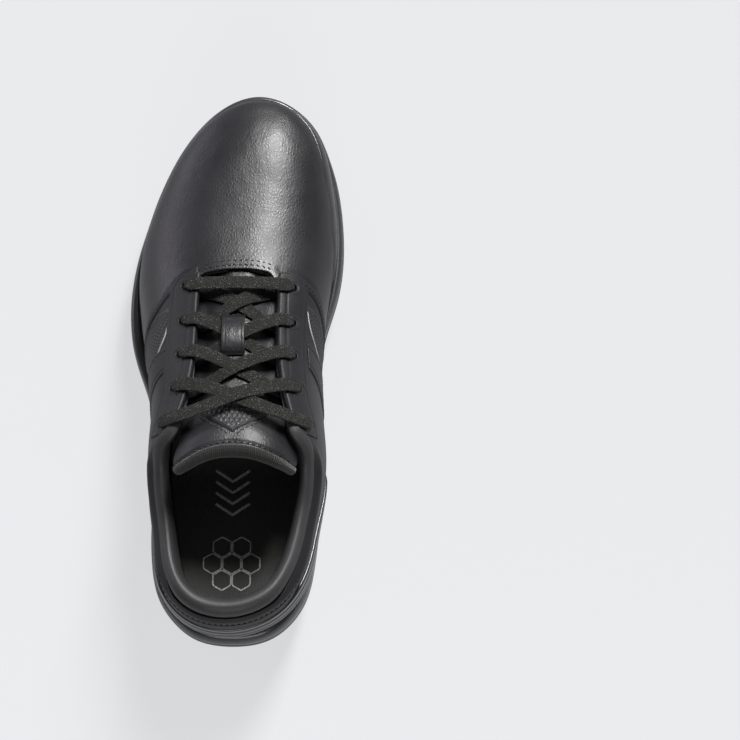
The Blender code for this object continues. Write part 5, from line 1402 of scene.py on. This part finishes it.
def tongue_half(y):
    return 24.0 + 7.0 * np.clip((45 - y) / 100, 0, 1) + 3.6 * smooth((-50 - np.asarray(y, float)) / 12)


def tongue_x(u, y):
    """The tongue spreads a little further on the medial side near its end."""
    return ridge_x(y) + u * tongue_half(y) + 4.2 * smooth(u) * smooth((-44 - np.asarray(y, float)) / 14)


def tongue_drop(u, y):
    k = np.clip((np.abs(u) * tongue_half(y) - 3) / (throat_half(y) - 5), 0, 1)
    return -2.5 - 3.9 * k * k * (3 - 2 * k)


TONGUE_END = -56.4
ARCH = 10.8


def tongue_skin(u, y):
    """Offset of the padded tongue's outer face: the padding swells behind the lacing and dips at the seam before the binding."""
    end = TONGUE_END - ARCH * u**2
    puff = 1.7 * smooth((-33 - y) / 19) * (1 - np.abs(u) ** 3) * smooth((y - end) / 11.0 + 0.03)
    seam_dip = -0.6 * bell(y - end, 1.5, 0.8) * smooth((-46 - y) / 6)
    p = over(ridge_x(y) + u * tongue_half(y), y, 0.0)
    flow = 0.16 * rumple(p, 16.0, 8.0) + 0.06 * rumple(p, 6.0, 1.5) + 0.02 * rumple(p, 2.6, 4.4)
    return tongue_drop(u, y) + puff + seam_dip + flow


na, nb = 190, 96
a, u = np.meshgrid(np.linspace(0, 1, na), np.linspace(-1, 1, nb), indexing="ij")
end = TONGUE_END - ARCH * u**2
y = 48.0 + (end - 48.0) * a
x = tongue_x(u, y)
drop = tongue_drop(u, y)
top = over(x, y, tongue_skin(u, y))
low = over(x, y, drop - 7.6 * (1 - 0.35 * u**2) * (0.55 + 0.45 * smooth((44 - y) / 12)))
tongue = sheet("tongue_padded", top, low, ["tongue_leather", "lining"], rim=8, bulge=0.55)
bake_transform(tongue)
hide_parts("tongue_cover", "tongue_foam", "tongue_lining", "tongue_flap_cover", "tongue_flap_foam", "tongue_flap_lining")

# knitted binding rolled round the tongue's edge
nu, nr = 260, 20
u = np.linspace(-1, 1, nu)
y = TONGUE_END - 1.0 - ARCH * u**2
x = tongue_x(u, y) + 0.3 * u
top = over(x, y, tongue_drop(u, y) + 0.75)
low = over(x, y, tongue_drop(u, y) - 7.9 * (1 - 0.35 * u**2))
mid, up = (top + low) / 2, (top - low) / 2
back = np.array([0, -1, 0.1]) * 2.9
front = np.array([0, 1, -0.1]) * 1.5
run = np.concatenate([[0], np.cumsum(np.linalg.norm(np.diff(mid, axis=0), axis=1))])
rows = []
taper = np.sqrt(np.clip(1 - np.clip((np.abs(u) - 0.965) / 0.035, 0, 1) ** 2, 0.02, 1))
for k in range(nr):
    g = 2 * math.pi * k / nr
    side_v = back if math.sin(g) > 0 else front
    rib = 1 + 0.014 * np.cos(2 * math.pi * run / 1.5)
    rows.append(mid + (up * math.cos(g) * rib[:, None] + side_v * abs(math.sin(g)) * rib[:, None]) * taper[:, None])
grid_pts = np.stack(rows, 1)
faces = []
for i in range(nu - 1):
    for k in range(nr):
        j = (k + 1) % nr
        faces.append([i * nr + k, i * nr + j, (i + 1) * nr + j, (i + 1) * nr + k])
faces.append(list(range(nr))[::-1])
faces.append([(nu - 1) * nr + k for k in range(nr)])
coords = np.zeros((nu * nr, 2))
coords[:, 0] = np.repeat(run, nr)
coords[:, 1] = np.tile(np.arange(nr) * 0.75, nu)
binding = to_object("tongue_binding_knit", grid_pts.reshape(-1, 3), faces, ["knit"], attrs=coords)
own(binding, "tongue_flap", "knit", "tongue_binding")
u = np.linspace(-0.9, 0.9, 160)
y = TONGUE_END + 1.6 - ARCH * u**2
x = tongue_x(u, y)
line = over(x, y, tongue_skin(u, y) + 0.05)
nrm = unit(over(x, y, 1.0) - over(x, y, 0.0))
own(stitches("tongue_seam_stitches", line, nrm, 2.0, 1.0, 0.27, "thread", 0.1), "tongue_flap", "lace")

# lace keeper
a, b = np.meshgrid(np.linspace(0, 1, 80), np.linspace(0, 1, 34), indexing="ij")
y = 16.2 - 22.5 * a
x = ridge_x(y) - 1.6 + (b - 0.5) * (11.2 - 0.9 * np.sin(math.pi * a))
lift = np.sin(a * math.pi) ** 0.6 * 5.4
p0 = over(x, y, 0.0)
crease = 0.10 * rumple(p0, 3.2, 2.0) + 0.14 * rumple(p0, 7.0, 5.0)
edge_d = np.minimum(b, 1 - b) * 11.2
top_d = -2.5 + 1.5 + lift + crease * smooth(edge_d / 2) - 0.07 * bell(edge_d, 1.3, 0.4)
keeper = sheet("lace_keeper_leather", over(x, y, top_d), over(x, y, -2.5 + 0.3 + lift), "grain_leather", rim=6)
own(keeper, "shoe", "grain_leather", "lace_keeper")
for nm, k in (("front", 3), ("rear", -4)):
    row_p = over(x[k, 3:-3], y[k, 3:-3], top_d[k, 3:-3] - 0.1)
    row_n = unit(over(x[k, 3:-3], y[k, 3:-3], 1.0) - over(x[k, 3:-3], y[k, 3:-3], 0.0))
    own(stitches(f"keeper_stitches_{nm}", row_p, row_n, 1.5, 0.8, 0.22, "thread", 0.1), "shoe", "lace")

# three-cornered patch with raised dashes and a rolled rim
PATCH_Y, PATCH_LONG = -30.5, 19.4


def patch_half(a):
    return np.minimum(1.5 * PATCH_LONG * (1 - a), 17.5) + 0.4


a, u = np.meshgrid(np.linspace(0, 1, 170), np.linspace(-1, 1, 260), indexing="ij")
half = patch_half(a)
y = PATCH_Y - PATCH_LONG * a
x = ridge_x(y) + u * half
sh = u * half / tongue_half(y)
px, py = u * half, -a * PATCH_LONG
lat = np.round(py / 2.6)
dx = px + (lat % 2) * 1.35
dx = dx - np.round(dx / 2.7) * 2.7
dy = py - lat * 2.6
side_gap = (1 - np.abs(u)) * half * 0.57
inner_zone = smooth(side_gap / 1.0 - 0.9) * smooth((a * PATCH_LONG) / 1.0)
dash = 0.38 * inner_zone * smooth(1.5 - np.hypot(dx / 0.75, dy / 1.05))
lip = 0.62 * bell(side_gap, 0.6, 0.42)
dd = tongue_skin(sh, y)
patch = sheet("tongue_patch_embossed", over(x, y, dd + 0.7 + dash + lip), over(x, y, dd + 0.05), "patch", rim=4)
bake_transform(patch)
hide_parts("tongue_patch")
for side, label in SIDES:
    aa = np.linspace(0.04, 0.985, 70)
    y = PATCH_Y - PATCH_LONG * aa - 1.6
    hx = patch_half(aa) + 1.3
    x = ridge_x(y) + side * hx
    sh = side * hx / tongue_half(y)
    seam = stitches(f"patch_stitches_{label}", over(x, y, tongue_skin(sh, y) + 0.1), unit(over(x, y, 1.0) - over(x, y, 0.0)), 1.7, 0.9, 0.27, "thread_light", 0.1)
    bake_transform(seam)

# ---------------------------------------------------------------- lace
UNDER, ABOVE = -4.95, 2.75
UNDER_HOLE = [(8.6, UNDER, LACE_WIDTH), (6.0, UNDER, LACE_WIDTH - 1.6), (2.7, UNDER, 3.6), (0.8, UNDER + 0.5, LACE_IN_HOLE)]
TOP_OF_HOLE = [(0.0, -2.4, LACE_IN_HOLE), (0.0, 0.8, LACE_IN_HOLE), (0.4, 2.0, 3.9), (1.6, ABOVE + 0.1, 5.6), (4.2, ABOVE + 0.15, LACE_WIDTH), (8.2, ABOVE + 0.1, LACE_WIDTH)]


def hole_x(side, row, s):
    x, y = EYELET_XY[side][row]
    step = over(x, y, 0.0) - over(x - side * 0.5, y, 0.0)
    return x - side * s * 0.5 / float(np.linalg.norm(step))


def hole(side, row, upwards):
    y = EYELETS[row][0]
    pts = [(hole_x(side, row, s), y, d, w) for s, d, w in UNDER_HOLE + TOP_OF_HOLE]
    return pts if upwards else pts[::-1]


def crossing(start, end, lift, steps=10):
    out = []
    for k in range(1, steps):
        s = k / steps
        x = start[0] + (end[0] - start[0]) * s
        y = start[1] + (end[1] - start[1]) * (3 * s * s - 2 * s**3) * 0.5 + (end[1] - start[1]) * s * 0.5
        u = (x - float(ridge_x(y))) / float(tongue_half(y))
        line = start[2] + (end[2] - start[2]) * s
        floor = float(tongue_drop(u, y)) + 1.15
        bump = lift * math.exp(-(((x - float(ridge_x(y))) / 10.0) ** 2))
        out.append((x, y, max(line, floor) + bump, LACE_WIDTH))
    return out


def lace_path():
    A, B, C, D, E_ = range(5)
    path = []

    def inside_end(side):
        x, y = EYELET_XY[side][E_]
        t0 = float(upper.t_at(side, y))
        th0 = float(theta_at_half(t0, abs(x - float(ridge_x(y)))))
        z0 = float(base_point(t0, th0)[2])
        pts = []
        for dz, d in ((26, -6.4), (20, -6.4), (14, -6.3), (8, -6.0), (3.5, -5.8), (1.2, -5.4)):
            th = float(theta_at_z(np.array(t0), z0 - dz))
            pts.append(("free", surface(t0, th, d), 4.2 if dz > 3 else LACE_IN_HOLE))
        return pts

    path += inside_end(-1)
    path += hole(-1, E_, True)[len(UNDER_HOLE):]
    for side, row, upwards, lift in ((1, D, False, 1.9), (-1, C, False, 0.0), (1, B, False, 1.9), (-1, A, True, 0.0)):
        arrive = hole(side, row, upwards)
        path += crossing(path[-1], arrive[0], lift)
        path += arrive
    down = hole(1, A, False)
    path += crossing(path[-1], down[0], 0.0)
    path += down
    for side, row, lift in ((-1, B, 1.9), (1, C, 0.0), (-1, D, 1.9)):
        arrive = hole(side, row, True)
        path += crossing(path[-1], arrive[0], lift)
        path += arrive
    last = hole(1, E_, True)[len(UNDER_HOLE):][::-1]
    path += crossing(path[-1], last[0], 0.0)
    path += last
    path += inside_end(1)[::-1]
    points, widths, along = [], [], []
    for p in path:
        if p[0] == "free":
            points.append(np.array(p[1]))
            widths.append(p[2])
            along.append(np.array([0.0, 1.0, -0.3]))
        else:
            points.append(over(p[0], p[1], p[2]))
            widths.append(p[3])
            along.append(over(p[0], p[1] + 1, 0.0) - over(p[0], p[1] - 1, 0.0))
    return np.array(points), np.array(widths), unit(np.array(along))


def fine_path(points, widths, along, step=0.7):
    """Catmull-Rom through the path's points, which keeps it close to the straight legs between them."""
    p = np.vstack([2 * points[0] - points[1], points, 2 * points[-1] - points[-2]])
    out, w, al = [], [], []
    for i in range(len(points) - 1):
        p0, p1, p2, p3 = p[i], p[i + 1], p[i + 2], p[i + 3]
        n = max(1, int(round(float(np.linalg.norm(p2 - p1)) / step)))
        d01, d12, d23 = (max(1e-3, float(np.linalg.norm(q))) ** 0.5 for q in (p1 - p0, p2 - p1, p3 - p2))
        m1 = (p1 - p0) / d01 - (p2 - p0) / (d01 + d12) + (p2 - p1) / d12
        m2 = (p2 - p1) / d12 - (p3 - p1) / (d12 + d23) + (p3 - p2) / d23
        m1, m2 = m1 * d12, m2 * d12
        for k in range(n):
            s = k / n
            h00, h10, h01, h11 = 2 * s**3 - 3 * s**2 + 1, s**3 - 2 * s**2 + s, -2 * s**3 + 3 * s**2, s**3 - s**2
            out.append(h00 * p1 + h10 * m1 + h01 * p2 + h11 * m2)
            e = s * s * (3 - 2 * s)
            w.append(widths[i] * (1 - e) + widths[i + 1] * e)
            al.append(along[i] * (1 - e) + along[i + 1] * e)
    out.append(points[-1])
    w.append(widths[-1])
    al.append(along[-1])
    return np.array(out), np.array(w), unit(np.array(al))


pts, wid, alo = fine_path(*lace_path())
wid = wid + 0.7 * smooth((wid - 5.4) / 1.6)
tan = unit(np.gradient(pts, axis=0))
wide = unit(alo - (tan * alo).sum(1, keepdims=True) * tan)
for _ in range(3):
    wide[1:-1] = unit(0.25 * wide[:-2] + 0.5 * wide[1:-1] + 0.25 * wide[2:])
flat = np.cross(tan, wide)
run = np.concatenate([[0], np.cumsum(np.linalg.norm(np.diff(pts, axis=0), axis=1))])
SEC = 24
ang = 2 * math.pi * (np.arange(SEC) + 0.5) / SEC
cw = np.sign(np.cos(ang)) * np.abs(np.cos(ang)) ** 0.62
cf = np.sign(np.sin(ang)) * np.abs(np.sin(ang)) ** 0.75
# a slight rib along each edge, and pinched thicker where the lace is narrow
thick = LACE_THICK / 2 * (1 + 0.35 * np.clip((LACE_WIDTH - wid) / 4, 0, 1))
rib = 1 + 0.16 * bell(np.abs(cw), 0.86, 0.14) + 0.10 * bell(cw, 0, 0.25)
sway = 0.10 * np.sin(run * 0.9) + 0.06 * np.sin(run * 2.3 + 1)
ringp = pts[:, None, :] + wide[:, None, :] * ((wid / 2)[:, None] * cw[None, :] + sway[:, None] * 0.5)[..., None] + flat[:, None, :] * (thick[:, None] * (cf * rib)[None, :])[..., None]
coords = np.zeros((len(pts), SEC, 2))
coords[..., 0] = (wid / 2)[:, None] * cw[None, :]
coords[..., 1] = run[:, None]
faces = []
n = len(pts)
for i in range(n - 1):
    for k in range(SEC):
        j = (k + 1) % SEC
        faces.append([i * SEC + k, i * SEC + j, (i + 1) * SEC + j, (i + 1) * SEC + k])
faces.append(list(range(SEC))[::-1])
faces.append([(n - 1) * SEC + k for k in range(SEC)])
lace = to_object("lace_braided", ringp.reshape(-1, 3), faces, ["lace"], attrs=coords.reshape(-1, 2))
own(lace, "shoe", "lace", "lace")

# ---------------------------------------------------------------- foot bed: one piece
INSET = 9.0


def liner_top(y, cross):
    cup = np.clip((-y - 60) / 60, 0, 1) * 2.6 + 0.6
    return rim_z(y) + 1.4 + 0.9 * np.clip(-y / 80, 0, 1) + cup * cross**3


s = np.linspace(0, 1, 260)
s = 0.5 - 0.5 * np.cos(math.pi * s)
ys = (upper.heel + 0.4) * (1 - s) + (upper.toe - 0.4) * s
w = np.linspace(-1, 1, 61)
left = np.stack(upper.inset(upper.t_at(-1, ys), INSET + 1.1), -1)
right = np.stack(upper.inset(upper.t_at(1, ys), INSET + 1.1), -1)
g = left[:, None, :] * ((1 - w) / 2)[None, :, None] + right[:, None, :] * ((1 + w) / 2)[None, :, None]
zt = liner_top(g[..., 1], np.abs(w)[None, :])
p3 = np.concatenate([g, zt[..., None]], -1)
p3[..., 2] += 0.10 * rumple(p3, 18.0, 2.0)
low3 = p3.copy()
low3[..., 2] = rim_z(g[..., 1]) - 2.1
liner = sheet("sockliner_cloth_top", p3, low3, ["sockliner", "foam"], rim=5, bulge=0.35)
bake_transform(liner)
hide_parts("sockliner_forefoot", "sockliner_heel")


def print_lines(name, lines, width, body):
    """Flat printed lines on the foot bed. Each line is a list of plan points."""
    pts, faces = [], []
    for line in lines:
        line = np.array(line, float)
        seg = np.concatenate([[0], np.cumsum(np.linalg.norm(np.diff(line, axis=0), axis=1))])
        qv = np.linspace(0, seg[-1], max(2, int(seg[-1] / 1.2) + 1))
        c = np.stack([np.interp(qv, seg, line[:, k]) for k in (0, 1)], -1)
        tn = unit(np.gradient(c, axis=0))
        sd = np.stack([-tn[:, 1], tn[:, 0]], -1)
        k0 = len(pts)
        for p, sv in zip(c, sd):
            for e, h in ((-1, 0.02), (-0.8, 0.16), (0.8, 0.16), (1, 0.02)):
                xy = p + sv * e * width / 2
                half_w = 0.5 * abs(float(np.interp(xy[1], ys, right[:, 0])) - float(np.interp(xy[1], ys, left[:, 0])))
                midx = 0.5 * (float(np.interp(xy[1], ys, right[:, 0])) + float(np.interp(xy[1], ys, left[:, 0])))
                cr = min(1.0, abs(xy[0] - midx) / half_w)
                z = float(liner_top(np.array(xy[1]), cr)) + 0.10 * noise.noise(Vector((xy[0] / 18 + 2, xy[1] / 18 + 2, float(liner_top(np.array(xy[1]), cr)) / 18 + 2)))
                pts.append((xy[0], xy[1], z + h))
            for e in (1, -1):
                xy = p + sv * e * width / 2
                pts.append((xy[0], xy[1], pts[-1][2] - 0.3 if e < 0 else pts[-1][2] - 0.2))
        m = len(c)
        for i in range(m - 1):
            for k in range(6):
                j = (k + 1) % 6
                faces.append([k0 + i * 6 + k, k0 + i * 6 + j, k0 + (i + 1) * 6 + j, k0 + (i + 1) * 6 + k])
        faces.append([k0 + k for k in range(6)][::-1])
        faces.append([k0 + (m - 1) * 6 + k for k in range(6)])
    return own(to_object(name, pts, faces, ["print"]), body, "sockliner")


def hexagon(cx, cy, r):
    return [(cx + r * math.cos(math.pi / 6 + math.pi / 3 * k), cy + r * math.sin(math.pi / 6 + math.pi / 3 * k)) for k in range(7)]


cells = []
cx0, cy0, r = -0.5, -108.0, 5.4
cells.append(hexagon(cx0, cy0, r))
for k in range(6):
    g_ = math.pi / 3 * k
    cells.append(hexagon(cx0 + math.sqrt(3) * (r + 0.45) * math.cos(g_), cy0 + math.sqrt(3) * (r + 0.45) * math.sin(g_), r))
chevrons = [[(-0.5 - 9, -58.0 - 6 * k), (-0.5, -64.0 - 6 * k), (-0.5 + 9, -58.0 - 6 * k)] for k in range(4)]
print_lines("sockliner_print_cells", cells, 0.75, "sockliner_rear")
print_lines("sockliner_print_chevrons", chevrons, 1.5, "sockliner_rear")

# ---------------------------------------------------------------- CAD nodes that stay: their node materials
STAY = {
    "outsole": "outsole", "shank": "shank", "insole_board": "board", "toe_puff": "board",
    "aglet_lateral": "aglet", "aglet_medial": "aglet",
}
STAY.update({f"spike_receptacle_{k}": "receptacle" for k in range(1, 7)})
for node, mat in STAY.items():
    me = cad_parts[node].data
    me.materials.clear()
    me.materials.append(M[mat])
for node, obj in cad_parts.items():
    if node not in STAY and not obj.hide_render:
        print("NOT REPLACED", node)

# ---------------------------------------------------------------- stage
bm = bmesh.new()
bmesh.ops.create_grid(bm, x_segments=8, y_segments=8, size=4.0)
fm = bpy.data.meshes.new("studio_floor")
bm.to_mesh(fm)
bm.free()
fm.materials.append(floor_material())
floor = bpy.data.objects.new("studio_floor", fm)
bpy.context.scene.collection.objects.link(floor)


def area(name, az, el, distance, size, power, colour=(1, 1, 1), aim=KEY_AIM, size_y=None):
    """A softbox. az turns from the toe (+Y) towards +X."""
    light = bpy.data.lights.new(name, "AREA")
    light.shape = "RECTANGLE"
    light.size, light.size_y = size, size_y or size
    light.energy = power
    light.color = colour
    o = bpy.data.objects.new(name, light)
    a_, e_ = math.radians(az), math.radians(el)
    direction = Vector((math.sin(a_) * math.cos(e_), math.cos(a_) * math.cos(e_), math.sin(e_)))
    o.location = Vector(aim) + direction * distance
    o.rotation_euler = (-direction).to_track_quat("-Z", "Y").to_euler()
    bpy.context.scene.collection.objects.link(o)
    return o


area("key", KEY_AZ, KEY_EL, KEY_DIST, 0.36, KEY_POWER, (1.0, 0.99, 0.98), size_y=0.92)
area("fill_left", -58, 9, 2.0, 1.6, 9.5, (0.94, 0.90, 1.0), size_y=0.5)
area("fill_right", 84, 20, 2.0, 0.5, 0.3, (0.96, 0.97, 1.0), size_y=0.4)
area("back_low", 176, 30, 2.0, 1.2, 10.0, (1, 1, 1), size_y=0.5)

world = bpy.data.worlds.new("studio")
bpy.context.scene.world = world
world.use_nodes = True
wt = world.node_tree
bg = wt.nodes["Background"]
tc = wt.nodes.new("ShaderNodeTexCoord")
sp = wt.nodes.new("ShaderNodeSeparateXYZ")
wt.links.new(tc.outputs["Generated"], sp.inputs[0])
mr = wt.nodes.new("ShaderNodeMapRange")
mr.interpolation_type = "SMOOTHSTEP"
mr.inputs["From Min"].default_value = 0.02
mr.inputs["From Max"].default_value = 0.65
mr.inputs["To Min"].default_value = 0.20
mr.inputs["To Max"].default_value = 0.13
wt.links.new(sp.outputs[2], mr.inputs["Value"])
path = wt.nodes.new("ShaderNodeLightPath")
seen = wt.nodes.new("ShaderNodeMix")
wt.links.new(path.outputs["Is Camera Ray"], seen.inputs[0])
wt.links.new(mr.outputs["Result"], seen.inputs[2])
seen.inputs[3].default_value = 0.86
wt.links.new(seen.outputs[0], bg.inputs["Strength"])
bg.inputs["Color"].default_value = (0.93, 0.94, 0.96, 1)

cam_data = bpy.data.cameras.new("camera")
cam_data.sensor_width = 36
cam_data.lens = 36 * 1.3 / 0.4066
cam = bpy.data.objects.new("camera", cam_data)
bpy.context.scene.collection.objects.link(cam)
EL = math.radians(78)
AIM = Vector((0.072, 0.0037, 0.0))
cam.location = AIM + Vector((0, -math.cos(EL), math.sin(EL))) * 1.3
cam.rotation_euler = (math.pi / 2 - EL, 0, 0)
cam_data.clip_end = 20
bpy.context.scene.camera = cam
bpy.context.scene.view_settings.view_transform = "Standard"
bpy.context.scene.view_settings.look = "None"
